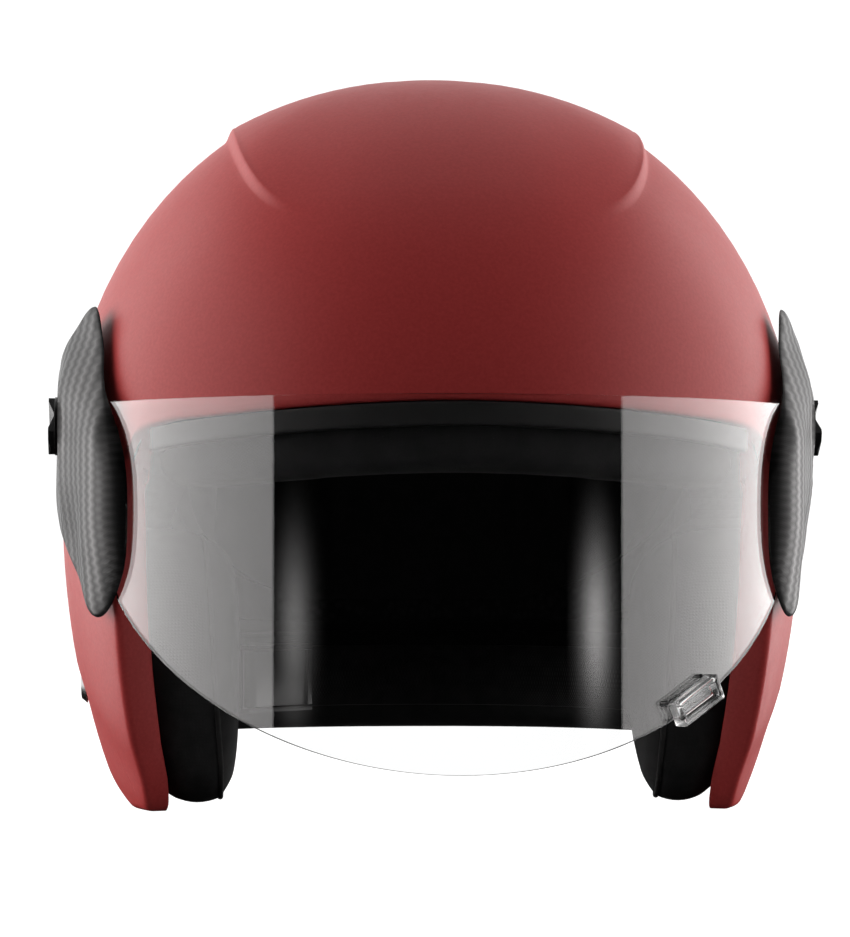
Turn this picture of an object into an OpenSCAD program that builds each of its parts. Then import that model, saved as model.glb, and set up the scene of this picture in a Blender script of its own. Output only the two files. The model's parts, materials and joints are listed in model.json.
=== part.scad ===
// Open-face helmet with a clear visor on two side pivots, in millimetres.
// The wearer faces -Y, +X is the wearer's left, and Z is up from the lowest rim.

/* [Shell] */
// Half of the shell's greatest width
shell_half_w = 125.5; // [121:0.5:130]
// Shell reach ahead of its widest plane
shell_front = 142; // [138:1:146]
// Shell reach behind its widest plane
shell_rear = 150; // [142:1:158]
// Height of the widest level
wide_z = 105; // [100:1:110]
// Crown height above the widest level
crown_rise = 141; // [136:1:146]
// Height scale of the sides below the widest level
skirt_drop = 187; // [178:1:200]
// Squareness of the rounded form, 2 is an ellipse
form_power = 2.1; // [2.05:0.05:2.2]
// Wall of the shell
shell_wall = 4; // [3.5:0.25:4.5]
// Height of the brow edge at the centre
brow_z = 131.5; // [128:0.5:134]
// Height of the rear rim
rear_rim_z = 20; // [14:1:26]
// Depth of the inward lip at the cheeks
cheek_lip = 13; // [9:0.5:14]
// Depth of the inward lip at the brow and the rear
rim_lip = 5.5; // [5:0.25:7]
// Thickness of the lip
lip_wall = 3; // [2:0.25:4]

/* [Crown panel] */
// Half width of the raised panel
panel_half_w = 66.5; // [58:0.5:72]
// Reach of the panel to the front and the rear
panel_reach = 108; // [98:1:114]
// Height of the panel's edge over the shell
panel_rise = 2.6; // [1:0.1:4]
// Width of the step beside the panel, in degrees
panel_step = 2.2; // [1.5:0.1:3.5]

/* [Lining] */
// Gap between shell and impact liner
liner_gap = 1.5; // [1.4:0.1:2]
// Thickness of the impact liner
liner_wall = 31; // [26:0.5:33]
// Thickness of the crown pad
crown_pad_wall = 8.5; // [6:0.5:10]
// Gap between lining layers
layer_gap = 0.8; // [0.7:0.1:1.2]
// Height of the brow trim strip
trim_h = 7.5; // [5:0.25:9]
// Thickness of the brow trim strip
trim_wall = 5; // [4:0.25:6]
// Thickness of the brow pad
brow_pad_wall = 23; // [16:0.5:26]
// Height of the brow pad
brow_pad_h = 24; // [18:0.5:26]
// Half of the clear width between the cheek pads
cheek_gap_half = 66; // [62:0.5:70]
// Thickness of the neck roll
neck_wall = 27.5; // [20:0.5:29]
// Height of the neck roll
neck_h = 38; // [30:0.5:40]

/* [Visor] */
// Pivot distance ahead of the widest plane
pivot_ahead = 28; // [26:0.5:30]
// Height of the pivot
pivot_z = 127; // [125:0.5:129]
// Visor sheet thickness
visor_wall = 1.8; // [1.5:0.1:2]
// Clear space between brow and visor sheet
visor_front_gap = 6; // [5.5:0.25:8]
// Clear space between shell side and visor sheet
visor_side_gap = 1.3; // [1.2:0.1:1.8]
// Height of the visor's top edge
visor_top_z = 133; // [131:0.5:135]
// Height of the visor's lowest point
visor_low_z = 17; // [14:0.5:24]
// How far the curve of the lower edge runs past the sheet's sides
visor_curve_over = 1.2; // [0.8:0.1:2]
// Height at which the lower edge turns into the arms
visor_turn_z = 98; // [96:0.5:100]
// Radius of the visor's pivot eye
eye_r = 15; // [13:0.5:16]
// Sideways place of the lift tab
tab_x = 74; // [60:1:80]
// Length of the lift tab
tab_l = 20; // [14:0.5:24]
// Reach of the lift tab beyond the sheet
tab_out = 4.5; // [3:0.25:6]

/* [Pivots] */
// Radius of the hub in the visor's eye
hub_r = 8; // [7.5:0.1:8.5]
// Radius of the knob's stem
stem_r = 3; // [2.5:0.1:3.2]
// Radial running clearance of hub and stem
run_clear = 0.06; // [0.03:0.01:0.09]
// Radius of the pivot seat on the shell
seat_r = 18; // [17:0.5:19]
// Gap between faces that move past each other
slide_gap = 0.4; // [0.35:0.05:0.5]
// Thickness of the friction ring
ring_wall = 0.7; // [0.5:0.05:0.8]
// Side cover wall
cover_wall = 1.5; // [1.2:0.1:1.6]
// Extra depth of the side cover at its front wall
cover_nose = 5; // [3:0.25:6]
// Gap between a part and the shell it is seated on
seat_gap = 0.3; // [0.25:0.05:0.4]
// Radius of the knob's flange
knob_r = 9.7; // [8.5:0.1:10]
// Thickness of the knob's flange
knob_flange = 0.9; // [0.8:0.1:1.6]
// Height of the knob's wings over the flange
knob_wing_h = 2.1; // [1.5:0.1:3]
// Turn of the knob's wings from upright
knob_turn = 35; // [0:1:60]

/* [Strap] */
// Width of the strap webbing
strap_w = 22; // [18:0.5:24]
// Thickness of the strap webbing
strap_wall = 1.6; // [1.2:0.1:2]
// Height of the strap's centre line
strap_z = 40; // [39:0.5:42]
// Azimuth of the strap rivets from the front, in degrees
rivet_az = 94; // [93:0.5:95]
// Radius of the rivet's shank
rivet_r = 2.5; // [2:0.1:3]
// Radius of the rivet's head
rivet_head_r = 6.5; // [5:0.25:7]
// Length of the buckle
buckle_l = 38; // [34:0.5:42]
// Height of the buckle
buckle_h = 24; // [24:0.5:27]

/* [Hidden] */
$fn = 48;
// Length of a cut that runs right through, and the clearance of a fixed fastener
through = 40;
fit_clear = 0.1;

pivot_y = -pivot_ahead;
visor_front = shell_front + visor_front_gap;

// Skin of the shell: a rounded form set in by t, centred on the widest level
function pw(v) = pow(abs(v), form_power);
function root(v) = pow(max(0, v), 1 / form_power);
function axis_y(y, t) = (y < 0 ? shell_front : shell_rear) - t;
function axis_z(z, t) = (z > wide_z ? crown_rise : skirt_drop) - t;
function level(z, t) = 1 - pw((z - wide_z) / axis_z(z, t));
function skin_x(y, z, t) = (shell_half_w - t) * root(level(z, t) - pw(y / axis_y(y, t)));
function skin_rad(az, z, t) =
  root(level(z, t)) / root(pw(sin(az) / (shell_half_w - t)) + pw(cos(az) / axis_y(-cos(az), t)));
function skin_at(az, z, t) = let (r = skin_rad(az, z, t)) [r * sin(az), -r * cos(az), z];
function ray(az, tilt) = [sin(tilt) * sin(az), -sin(tilt) * cos(az), cos(tilt)];
function reach(d, t) = 1 / root(pw(d.x / (shell_half_w - t)) + pw(d.y / axis_y(d.y, t))
  + pw(d.z / axis_z(wide_z + d.z, t)));
function skin(az, tilt, t, rise = 0) = let (d = ray(az, tilt)) [0, 0, wide_z] + d * (reach(d, t) + rise);
function tilt_at(az, z, t) = atan2(skin_rad(az, z, t), z - wide_z);

function mix(a, b, k) = a + (b - a) * k;
function clamp(v) = min(1, max(0, v));
function ease(v) = let (c = clamp(v)) c * c * (3 - 2 * c);

// Smooth curve through a path that is mirrored at both ends
function knot(p, i) = i < 0 ? mirror_end(p[0], p[1])
  : i >= len(p) ? mirror_end(p[len(p) - 1], p[len(p) - 2]) : p[i];
function mirror_end(e, q) = [for (k = [0:len(e) - 1]) k == 0 ? 2 * e[0] - q[0] : q[k]];
function curve(a, b, c, d, t) = 0.5 * (2 * b + (c - a) * t + (2 * a - 5 * b + 4 * c - d) * t * t
  + (3 * b - a - 3 * c + d) * t * t * t);
function spline(p, u) = let (i = min(floor(u), len(p) - 2))
  curve(knot(p, i - 1), knot(p, i), knot(p, i + 1), knot(p, i + 2), u - i);
function loop_spline(p, u) = let (n = len(p), i = floor(u))
  curve(p[(i + n - 1) % n], p[i % n], p[(i + 1) % n], p[(i + 2) % n], u - i);

// Solid through a stack of rings, closed by a point at each end
function loft_faces(n, k) = concat(
  [for (i = [0:k - 2]) for (j = [0:n - 1])
    let (a = i * n + j, b = i * n + (j + 1) % n) each [[a, b, a + n], [b, b + n, a + n]]],
  [for (j = [0:n - 1]) [n * k, (j + 1) % n, j]],
  [for (j = [0:n - 1]) [n * k + 1, (k - 1) * n + j, (k - 1) * n + (j + 1) % n]]);
module loft(rings, first, last) {
  polyhedron(points = concat([for (r = rings) each r], [first, last]),
    faces = loft_faces(len(rings[0]), len(rings)));
}
function middle(ring) = [for (k = [0:2]) let (v = [for (p = ring) p[k]]) (min(v) + max(v)) / 2];

// Columns run from the crown round both halves
function half_step(j, n) = j <= n ? j : 2 * n - j;
function side(j, n) = j <= n ? 1 : -1;

// Edge of the shell: azimuth from the front, height, depth of the lip
brow_turn = 46;
brow_sag = 7;
function brow_edge(az) = brow_z - brow_sag * pow(abs(az) / brow_turn, 1.6);
edge_path = [
  [0, brow_z, rim_lip], [15, brow_edge(15), rim_lip], [31, brow_edge(31), rim_lip],
  [brow_turn, brow_edge(brow_turn), 0.55 * cheek_lip], [51.5, brow_z - 19, 0.8 * cheek_lip],
  [53.5, brow_z - 40, cheek_lip], [55, 62, cheek_lip], [57.5, 26, 0.9 * cheek_lip],
  [60, 6, 0.7 * cheek_lip], [64, -1, 0.6 * cheek_lip], [70, -0.5, 0.58 * cheek_lip],
  [78, 0.25 * rear_rim_z, 0.55 * cheek_lip], [91, 0.68 * rear_rim_z, rim_lip + 1],
  [110, rear_rim_z, rim_lip], [145, rear_rim_z, rim_lip], [180, rear_rim_z, rim_lip]];
edge_cols = 40;
function edge(j) = let (q = spline(edge_path, half_step(j, edge_cols) * (len(edge_path) - 1) / edge_cols))
  [side(j, edge_cols) * q[0], max(0, q[1]), q[2]];

// Raised crown panel with an edge that fades towards the brow and the nape
function panel_az(j) = side(j, edge_cols) * 180 * half_step(j, edge_cols) / edge_cols;
panel_power = 4;
function panel_rad(az) = 1 / pow(pow(abs(sin(az)) / panel_half_w, panel_power)
  + pow(abs(cos(az)) / panel_reach, panel_power), 1 / panel_power);
function panel_tilt(az) = let (r = panel_rad(az), y = -r * cos(az))
  atan2(r, crown_rise * root(1 - pw(r * sin(az) / shell_half_w) - pw(y / axis_y(y, 0))));
function crest(az) = panel_rise * ease((abs(az) - 22) / 24) * ease((170 - abs(az)) / 26);
panel_rows = [0.3, 0.6, 0.85, 1];
side_rows = 9;
wall_rows = 10;

// Point on the shell's column j, k from the panel (0) to the edge (1)
// Columns turn so that they meet the cheek edges squarely
function turn_power(j) = let (u = half_step(j, edge_cols) / edge_cols)
  1 + 1.6 * ease((u - 0.2) / 0.1) * ease((0.6 - u) / 0.1);
function shell_point(j, k, t) = let (q = edge(j), az = panel_az(j), p = turn_power(j),
  h = pow(k, 0.65 + 0.35 * p),
  tilt = mix(panel_tilt(az) + panel_step, tilt_at(q[0], q[1], 0), 1 - pow(1 - h, p)))
  skin(mix(az, q[0], pow(h, p)), tilt, t);
function lip_share(j) = 0.04 * lip_wall / norm(shell_point(j, 1, 0) - shell_point(j, 0.96, 0));
function lip_in(j) = let (q = edge(j)) q[2] * [-sin(q[0]), cos(q[0]), 0];
function shell_ring(k, t) = [for (j = [0:2 * edge_cols - 1]) shell_point(j, k, t)];
shell_rings = concat(
  [for (f = panel_rows) [for (j = [0:2 * edge_cols - 1])
    let (az = panel_az(j)) skin(az, f * panel_tilt(az), 0, crest(az) * f * f)]],
  [for (i = [0:side_rows]) shell_ring(i / side_rows, 0)],
  [[for (j = [0:2 * edge_cols - 1]) shell_point(j, 1, 0) + lip_in(j)],
   [for (j = [0:2 * edge_cols - 1]) shell_point(j, 1 - lip_share(j), 0) + lip_in(j)]],
  [for (i = [0:wall_rows]) [for (j = [0:2 * edge_cols - 1])
    shell_point(j, (1 - lip_share(j)) * (1 - i / wall_rows), shell_wall)]],
  [for (f = [0.8, 0.55, 0.28]) [for (j = [0:2 * edge_cols - 1])
    let (az = panel_az(j)) skin(az, f * panel_tilt(az), shell_wall)]]);

// Pivot stack along X, from the seat on the shell outwards
seat_sink = 0.9;
seat_x = skin_x(pivot_y, pivot_z, 0) - seat_sink;
cup_deep = 11.6;
boss_r = hub_r + 2;
boss_h = 3.2;
cup_x = seat_x - cup_deep;
cup_clear = 0.2;
cup_flange = 3.5;
cup_flange_wall = 1.6;
ring_gap = 0.3;
arm_in_x = seat_x + ring_wall + ring_gap;
arm_out_x = arm_in_x + visor_wall;
cover_in_x = arm_out_x + slide_gap;
hub_top_x = cover_in_x - slide_gap;
// Visor half width: clear of the shell, and wide enough to be flat over the boss
flat_over = 0.75;
visor_half_w = max(shell_half_w + visor_side_gap,
  arm_in_x / sqrt(1 - pow((pivot_ahead + boss_r + flat_over) / visor_front, 2)));
land_x = cover_in_x + cover_wall;
stem_hole_r = stem_r + slide_gap;
screw_off = 5.4;
screw_r = 1.1;
screw_head_r = 1.9;
screw_l = 6;
screw_head_deep = 1.5;
screw_head_h = 1.2;
module at_pivot(x) {
  translate([x, pivot_y, pivot_z]) rotate([0, 90, 0]) children();
}
module both_sides() {
  children();
  mirror([1, 0, 0]) children();
}
module at_screws(x) {
  for (s = [-1, 1])
    translate([x, pivot_y, pivot_z + s * screw_off]) rotate([0, 90, 0]) children();
}

// Strap rivets
rivet_face = skin_rad(rivet_az, strap_z, 0);
spot_depth = 1.6;
rivet_head_h = 1.8;
spacer_wall = 2.4;
spacer_r = 7;
spacer_gap = 2.2;
strap_in_wall = rivet_face - shell_wall - spacer_gap - spacer_wall;
module at_rivet(r) {
  rotate([0, 0, rivet_az]) translate([0, -r, strap_z]) rotate([90, 0, 0]) children();
}

module outer_shell() {
  color([0.55, 0.05, 0.06]) difference() {
    loft(shell_rings, skin(0, 0, 0), skin(0, 0, shell_wall));
    both_sides() {
      at_pivot(cup_x - 4) cylinder(r = seat_r + cup_clear, h = through);
      at_rivet(rivet_face - through / 2) cylinder(r = rivet_r + fit_clear, h = through);
      at_rivet(rivet_face - spot_depth) cylinder(r = rivet_head_r + 0.5, h = through);
    }
  }
}

// Cup in the shell's round opening: flange behind the wall, flat boss outside
module pivot_cup() {
  difference() {
    union() {
      at_pivot(cup_x) cylinder(r = boss_r, h = cup_deep);
      at_pivot(cup_x) cylinder(r = seat_r, h = cup_deep - boss_h);
      at_pivot(cup_x) cylinder(r = seat_r + cup_flange, h = cup_flange_wall);
    }
    at_pivot(cup_x - 1) cylinder(r = stem_hole_r, h = cup_deep + 2);
    at_screws(seat_x - screw_l - 0.3) cylinder(r = screw_r + fit_clear, h = through);
  }
}
module left_pivot_cup() {
  color([0.12, 0.12, 0.12]) pivot_cup();
}
module right_pivot_cup() {
  color([0.12, 0.12, 0.12]) mirror([1, 0, 0]) pivot_cup();
}

// Lining layers between two set-in skins, down to a path of azimuth and height
liner_in = shell_wall + liner_gap;
liner_out = liner_in + liner_wall;
pad_in = liner_out + layer_gap;
pad_out = pad_in + crown_pad_wall;
liner_path = [[0, brow_z + 4], [30, brow_z + 2], [48, brow_z - 4.5], [62, brow_z - 22], [78, brow_z - 34],
  [100, brow_z - 38], [118, 80], [135, rear_rim_z + 43], [160, rear_rim_z + 40], [180, rear_rim_z + 40]];
crown_path = [[0, brow_z + 10], [45, brow_z + 3], [65, brow_z - 9], [90, brow_z - 23], [120, 90],
  [150, rear_rim_z + 52], [180, rear_rim_z + 49]];
function layer_edge(path, cols, j) =
  let (q = spline(path, half_step(j, cols) * (len(path) - 1) / cols)) [side(j, cols) * q[0], q[1]];
function layer_ring(path, cols, f, t) = [for (j = [0:2 * cols - 1])
  let (q = layer_edge(path, cols, j), az = side(j, cols) * 180 * half_step(j, cols) / cols)
  skin(mix(az, q[0], f), f * tilt_at(q[0], q[1], t), t)];
module layer(path, cols, rows, t_out, t_in) {
  loft(concat([for (i = [1:rows]) layer_ring(path, cols, i / rows, t_out)],
    [for (i = [0:rows - 1]) layer_ring(path, cols, 1 - i / rows, t_in)]),
    skin(0, 0, t_out), skin(0, 0, t_in));
}

pocket_deep = 7;
module impact_liner() {
  color([0.16, 0.16, 0.17]) difference() {
    layer(liner_path, 26, 11, liner_in, liner_out);
    both_sides() at_pivot(cup_x - pocket_deep) cylinder(r = seat_r + cup_flange + 1, h = through);
  }
}

module crown_pad() {
  color([0.07, 0.07, 0.075]) layer(crown_path, 22, 8, pad_in, pad_out);
}

// Bands swept round the axis: a rounded section at each azimuth
function section(az, z, t, half_t, half_h, power, n) = [for (i = [0:n - 1])
  let (a = 360 * i / n, v = sign(sin(a)) * pow(abs(sin(a)), power),
    r = skin_rad(az, z, t) + half_t * sign(cos(a)) * pow(abs(cos(a)), power))
  [r * sin(az), -r * cos(az), z + half_h * v]];
module band(rings) {
  loft(rings, middle(rings[0]), middle(rings[len(rings) - 1]));
}

trim_in = 0.6;
brow_pad_in = trim_in + trim_wall + 0.55;
brow_pad_half_az = 51;
brow_pad_steps = 24;
module brow_pad() {
  color([0.06, 0.06, 0.065]) band([for (i = [0:brow_pad_steps])
    let (k = 2 * i / brow_pad_steps - 1, az = k * brow_pad_half_az, thin = pow(1 - pow(abs(k), 7), 0.5),
      f = 0.25 + 0.75 * thin, z = brow_edge(az) - brow_pad_h / 2 + 1.5)
    section(az, z, brow_pad_in + brow_pad_wall / 2, f * brow_pad_wall / 2, f * brow_pad_h / 2, 0.55, 14)]);
}

trim_half_az = 45;
trim_steps = 26;
module brow_trim() {
  color([0.05, 0.05, 0.05]) band([for (i = [0:trim_steps])
    let (az = (2 * i / trim_steps - 1) * trim_half_az, z = brow_edge(az) - seat_gap - trim_h / 2)
    section(az, z, trim_in + trim_wall / 2, trim_wall / 2, trim_h / 2, 0.35, 12)]);
}

neck_in = shell_wall + 3.85;
neck_half_az = 70;
neck_drop = 0.7;
neck_steps = 26;
module neck_roll() {
  color([0.06, 0.06, 0.065]) band([for (i = [0:neck_steps])
    let (k = 2 * i / neck_steps - 1, az = 180 + k * neck_half_az,
      f = 0.3 + 0.7 * pow(1 - pow(abs(k), 8), 0.5), z = rear_rim_z + neck_h / 2 - neck_drop)
    section(az, z, neck_in + neck_wall / 2, f * neck_wall / 2, (0.6 + 0.4 * f) * neck_h / 2, 0.6, 14)]);
}

// Cheek pad: a crowned cushion in a side outline, flat towards the shell
cheek_path = [[-4, 40], [1, 66], [-3, 85], [-22, 91], [-43, 94], [-57, 88], [-63, 66], [-61, 36],
  [-57, 12], [-49, 2.4], [-40, 0.8], [-24, 6], [-12, 13], [-7, 24]];
cheek_mid = [-30, 46];
cheek_cols = 42;
cheek_rim_in = 16;
cheek_square = 9;
cheek_back_in = shell_wall + 2.5;
function cheek_ring(s, inside) = [for (j = [0:cheek_cols - 1])
  let (q = mix(cheek_mid, loop_spline(cheek_path, j * len(cheek_path) / cheek_cols), s), y = q[0], z = q[1],
    rim = skin_x(y, z, cheek_rim_in), back = skin_x(y, z, cheek_back_in))
  [inside ? mix(rim, cheek_gap_half, sqrt(1 - pow(s, cheek_square))) : mix(rim, back, 1 - pow(s, 6)), y, z]];
module cheek_pad() {
  rings = concat([for (s = [0.35, 0.65, 0.83, 0.94, 1]) cheek_ring(s, false)],
    [for (s = [0.995, 0.97, 0.91, 0.8, 0.5]) cheek_ring(s, true)]);
  loft(rings, [skin_x(cheek_mid[0], cheek_mid[1], cheek_back_in), cheek_mid[0], cheek_mid[1]],
    [cheek_gap_half, cheek_mid[0], cheek_mid[1]]);
}
module left_cheek_pad() {
  color([0.07, 0.07, 0.075]) cheek_pad();
}
module right_cheek_pad() {
  color([0.07, 0.07, 0.075]) mirror([1, 0, 0]) cheek_pad();
}

// Visor sheet: an ellipse in plan that runs into two flat arms
function visor_x(y, t) = (visor_half_w + t) * sqrt(max(0, 1 - pow(y / (visor_front + t), 2)));
visor_side_y = -76;
visor_curve_half_w = visor_x(visor_side_y, visor_wall) + visor_curve_over;
visor_steps = 30;
function visor_curve(t, limit) = concat([for (i = [0:visor_steps])
  let (q = asin(limit / (visor_half_w + t)) * i / visor_steps)
  [(visor_half_w + t) * sin(q), -(visor_front + t) * cos(q)]], [[limit, pivot_y + eye_r + 1]]);
function reversed(p) = [for (i = [len(p) - 1:-1:0]) p[i]];
function mirrored(p) = [for (q = p) [-q[0], q[1]]];
function visor_low(x) = visor_turn_z
  - (visor_turn_z - visor_low_z) * sqrt(1 - pow(x / visor_curve_half_w, 2));
arm_low = 11;
module visor_plan() {
  outer = visor_curve(visor_wall, arm_out_x);
  inner = visor_curve(0, arm_in_x);
  polygon(concat(mirrored(reversed(outer)), [for (i = [1:len(outer) - 1]) outer[i]],
    reversed(inner), mirrored([for (i = [1:len(inner) - 1]) inner[i]])));
}
module visor_front_shape() {
  polygon(concat([for (a = [180:5:360])
    [visor_curve_half_w * cos(a), visor_turn_z + (visor_turn_z - visor_low_z) * sin(a)]],
    [[visor_curve_half_w, visor_top_z], [-visor_curve_half_w, visor_top_z]]));
}
module visor_arm_shape() {
  translate([pivot_y, pivot_z]) circle(r = eye_r);
  polygon([[visor_side_y - 4, visor_top_z], [pivot_y - 2, pivot_z + 0.98 * eye_r],
    [pivot_y - 2, pivot_z - 0.98 * eye_r], [pivot_y - eye_r - 5, pivot_z - arm_low + 2],
    [visor_side_y - 4, pivot_z - arm_low]]);
}
// Lift tab at the lower edge: a raised frame with a sunk middle and a small lug
tab_h = 8.5;
tab_rim = 1.8;
tab_y = -(visor_front + visor_wall) * sqrt(1 - pow(tab_x / (visor_half_w + visor_wall), 2));
tab_az = atan2(tab_x / pow(visor_half_w + visor_wall, 2), -tab_y / pow(visor_front + visor_wall, 2));
tab_slope = (visor_turn_z - visor_low_z) * tab_x / pow(visor_curve_half_w, 2)
  / sqrt(1 - pow(tab_x / visor_curve_half_w, 2)) * cos(tab_az);
module lift_tab() {
  translate([tab_x, tab_y, visor_low(tab_x)]) rotate([0, 0, tab_az]) rotate([0, -atan(tab_slope), 0]) {
    difference() {
      translate([-tab_l / 2, -tab_out, -2.5]) cube([tab_l, tab_out + 0.4, tab_h]);
      translate([-tab_l / 2 + tab_rim, -tab_out - 1, -2.5 + tab_rim])
        cube([tab_l - 2 * tab_rim, tab_out - 0.5, tab_h - 2 * tab_rim]);
    }
    translate([-2, -1.6, tab_h - 2.6]) cube([4, 2, 2.6]);
  }
}
module visor() {
  color([0.8, 0.84, 0.86, 0.35]) difference() {
    union() {
      intersection() {
        linear_extrude(height = pivot_z + eye_r + 5) visor_plan();
        union() {
          translate([0, visor_side_y, 0]) rotate([90, 0, 0]) linear_extrude(height = visor_front)
            visor_front_shape();
          rotate([90, 0, 90]) linear_extrude(height = 3 * visor_half_w, center = true) visor_arm_shape();
        }
      }
      lift_tab();
    }
    both_sides() at_pivot(seat_x) cylinder(r = hub_r + run_clear, h = through);
  }
}

// Side cover: a carrier over the visor's arm that turns with the visor, with a deep front wall
cover_path = [[18, 127], [12, 137], [-4, 146], [-22, 153], [-38, 161], [-47, 165.5], [-54, 163.5],
  [-63, 153], [-73.5, 140], [-84, 129], [-90.5, 114], [-92, 97], [-90.5, 80], [-84, 68.5], [-75, 64],
  [-62, 69], [-44, 81.5], [-20, 96], [4, 110], [14, 117]];
cover_cols = 60;
cover_mid = [pivot_y, pivot_z];
cover_flat_r = eye_r + 1;
visor_travel = 45;
turn_clear = slide_gap + 0.25;
// Highest skin that passes under a spot of the cover while it turns
function turned(y, z, a) = cover_mid
  + [(y - pivot_y) * cos(a) + (z - pivot_z) * sin(a), (z - pivot_z) * cos(a) - (y - pivot_y) * sin(a)];
function skin_swept(y, z) = max([for (i = [0:5])
  let (q = turned(y, z, visor_travel * i / 5)) skin_x(q[0], q[1], 0)]) + turn_clear;
// Share by which a spot lies over the visor: its front sheet or its arm, with a soft fade
cover_fade = 24;
cover_lap = 1;
function fades(d) = ease((d + cover_lap + cover_fade) / cover_fade);
function over_sheet(y, z) = fades(visor_side_y + cover_lap - y) * fades(visor_top_z - z);
function arm_top(y) = mix(visor_top_z, pivot_z + eye_r, clamp((y - visor_side_y + 4) / 50));
function over_arm(y, z) = fades(arm_top(y) - z) * fades(z - pivot_z + eye_r) * fades(pivot_y + eye_r - y);
function visor_out(y) = min(arm_out_x, visor_x(y, visor_wall));
function over_eye(y, z) = norm([y - pivot_y, z - pivot_z]) < cover_flat_r + 0.1;
function cover_under(y, z) = let (low = skin_swept(y, z), share = max(over_sheet(y, z), over_arm(y, z)))
  over_eye(y, z) ? cover_in_x : max(low, mix(low, visor_out(y) + slide_gap, share));
// Thickness grows towards the middle of the front wall
function cover_deep(y, z) = cover_wall
  + cover_nose * ease((-50 - y) / 40) * ease((140 - z) / 20) * ease((z - 58) / 40);
// Rings widen from a round flat over the visor's eye to the outline
flat_share = 0.3;
function cover_spot(j, s) = let (d = loop_spline(cover_path, j * len(cover_path) / cover_cols) - cover_mid,
  r = s < flat_share ? cover_flat_r * s / flat_share
    : mix(cover_flat_r, norm(d), (s - flat_share) / (1 - flat_share)))
  cover_mid + d / norm(d) * r;
// Ring at share s of the outline, lift 1 on the face, 0 on the underside
function cover_ring(s, lift) = [for (j = [0:cover_cols - 1]) let (q = cover_spot(j, s))
  [cover_under(q[0], q[1]) + lift * cover_deep(q[0], q[1]), q[0], q[1]]];
module side_cover() {
  difference() {
    loft(concat([for (s = [0.2, flat_share, 0.45, 0.62, 0.78, 0.9]) cover_ring(s, 1)],
      [cover_ring(0.955, 0.88), cover_ring(0.985, 0.6), cover_ring(1, 0.2), cover_ring(0.99, 0)],
      [for (s = [0.9, 0.78, 0.62, 0.45, flat_share, 0.2]) cover_ring(s, 0)]),
      [land_x, pivot_y, pivot_z], [cover_in_x, pivot_y, pivot_z]);
    at_pivot(seat_x) cylinder(r = stem_hole_r, h = through);
  }
}
module left_side_cover() {
  color([0.25, 0.25, 0.26]) side_cover();
}
module right_side_cover() {
  color([0.25, 0.25, 0.26]) mirror([1, 0, 0]) side_cover();
}

// Hub on the shell's seat that carries the visor's eye
module pivot_hub() {
  difference() {
    at_pivot(seat_x) cylinder(r = hub_r, h = hub_top_x - seat_x);
    at_pivot(seat_x - 1) cylinder(r = stem_r + run_clear, h = through);
    at_screws(seat_x - 1) cylinder(r = screw_r + fit_clear, h = through);
    at_screws(hub_top_x - screw_head_deep) cylinder(r = screw_head_r + fit_clear, h = through);
  }
}
module left_pivot_hub() {
  color([0.85, 0.85, 0.82]) pivot_hub();
}
module right_pivot_hub() {
  color([0.85, 0.85, 0.82]) mirror([1, 0, 0]) pivot_hub();
}
ring_r = boss_r - 0.2;
module friction_ring() {
  difference() {
    at_pivot(seat_x) cylinder(r = ring_r, h = ring_wall);
    at_pivot(seat_x - 1) cylinder(r = hub_r + fit_clear, h = through);
  }
}
module left_friction_ring() {
  color([0.9, 0.9, 0.88]) friction_ring();
}
module right_friction_ring() {
  color([0.9, 0.9, 0.88]) mirror([1, 0, 0]) friction_ring();
}
nut_r = 9;
nut_wall = 3;
module lock_nut() {
  difference() {
    at_pivot(cup_x - nut_wall) cylinder(r = nut_r, h = nut_wall, $fn = 6);
    at_pivot(cup_x - nut_wall - 1) cylinder(r = stem_r + run_clear, h = through);
  }
}
module left_lock_nut() {
  color([0.7, 0.7, 0.72]) lock_nut();
}
module right_lock_nut() {
  color([0.7, 0.7, 0.72]) mirror([1, 0, 0]) lock_nut();
}
module hub_screws() {
  color([0.7, 0.7, 0.72]) both_sides() {
    at_screws(seat_x - screw_l) cylinder(r = screw_r, h = screw_l + 2);
    at_screws(hub_top_x - screw_head_deep) cylinder(r = screw_head_r, h = screw_head_h);
  }
}

// Knob: flange, two wings that rise from a notch, stem and cross lug behind the nut
knob_gap = 0.3;
knob_x = land_x + knob_gap;
wing_w = 13;
wing_crest = 4;
wing_edge = 0.8;
notch_half = 0.7;
lug_l = 11;
lug_wall = 1.8;
module knob() {
  wing_r = knob_r - 0.3;
  top = knob_flange + knob_wing_h;
  translate([knob_x, pivot_y, pivot_z]) rotate([-knob_turn, 0, 0]) rotate([90, 0, 90]) {
    cylinder(r = knob_r, h = knob_flange);
    intersection() {
      cylinder(r = wing_r, h = top);
      rotate([90, 0, 90]) linear_extrude(height = wing_w, center = true)
        polygon([[-wing_r, knob_flange - 0.2], [wing_r, knob_flange - 0.2], [wing_r, top - wing_edge],
          [wing_r - wing_edge, top], [wing_r - wing_crest, top], [notch_half, knob_flange + 0.3],
          [-notch_half, knob_flange + 0.3], [wing_crest - wing_r, top], [wing_edge - wing_r, top],
          [-wing_r, top - wing_edge]]);
    }
    translate([0, 0, cup_x - nut_wall - slide_gap - knob_x]) {
      cylinder(r = stem_r, h = knob_x - cup_x + nut_wall + slide_gap + 0.2);
      translate([-lug_l / 2, -2, -lug_wall]) cube([lug_l, 4, lug_wall + 0.1]);
    }
  }
}
module left_knob() {
  color([0.04, 0.04, 0.045]) knob();
}
module right_knob() {
  color([0.04, 0.04, 0.045]) mirror([1, 0, 0]) knob();
}

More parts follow.
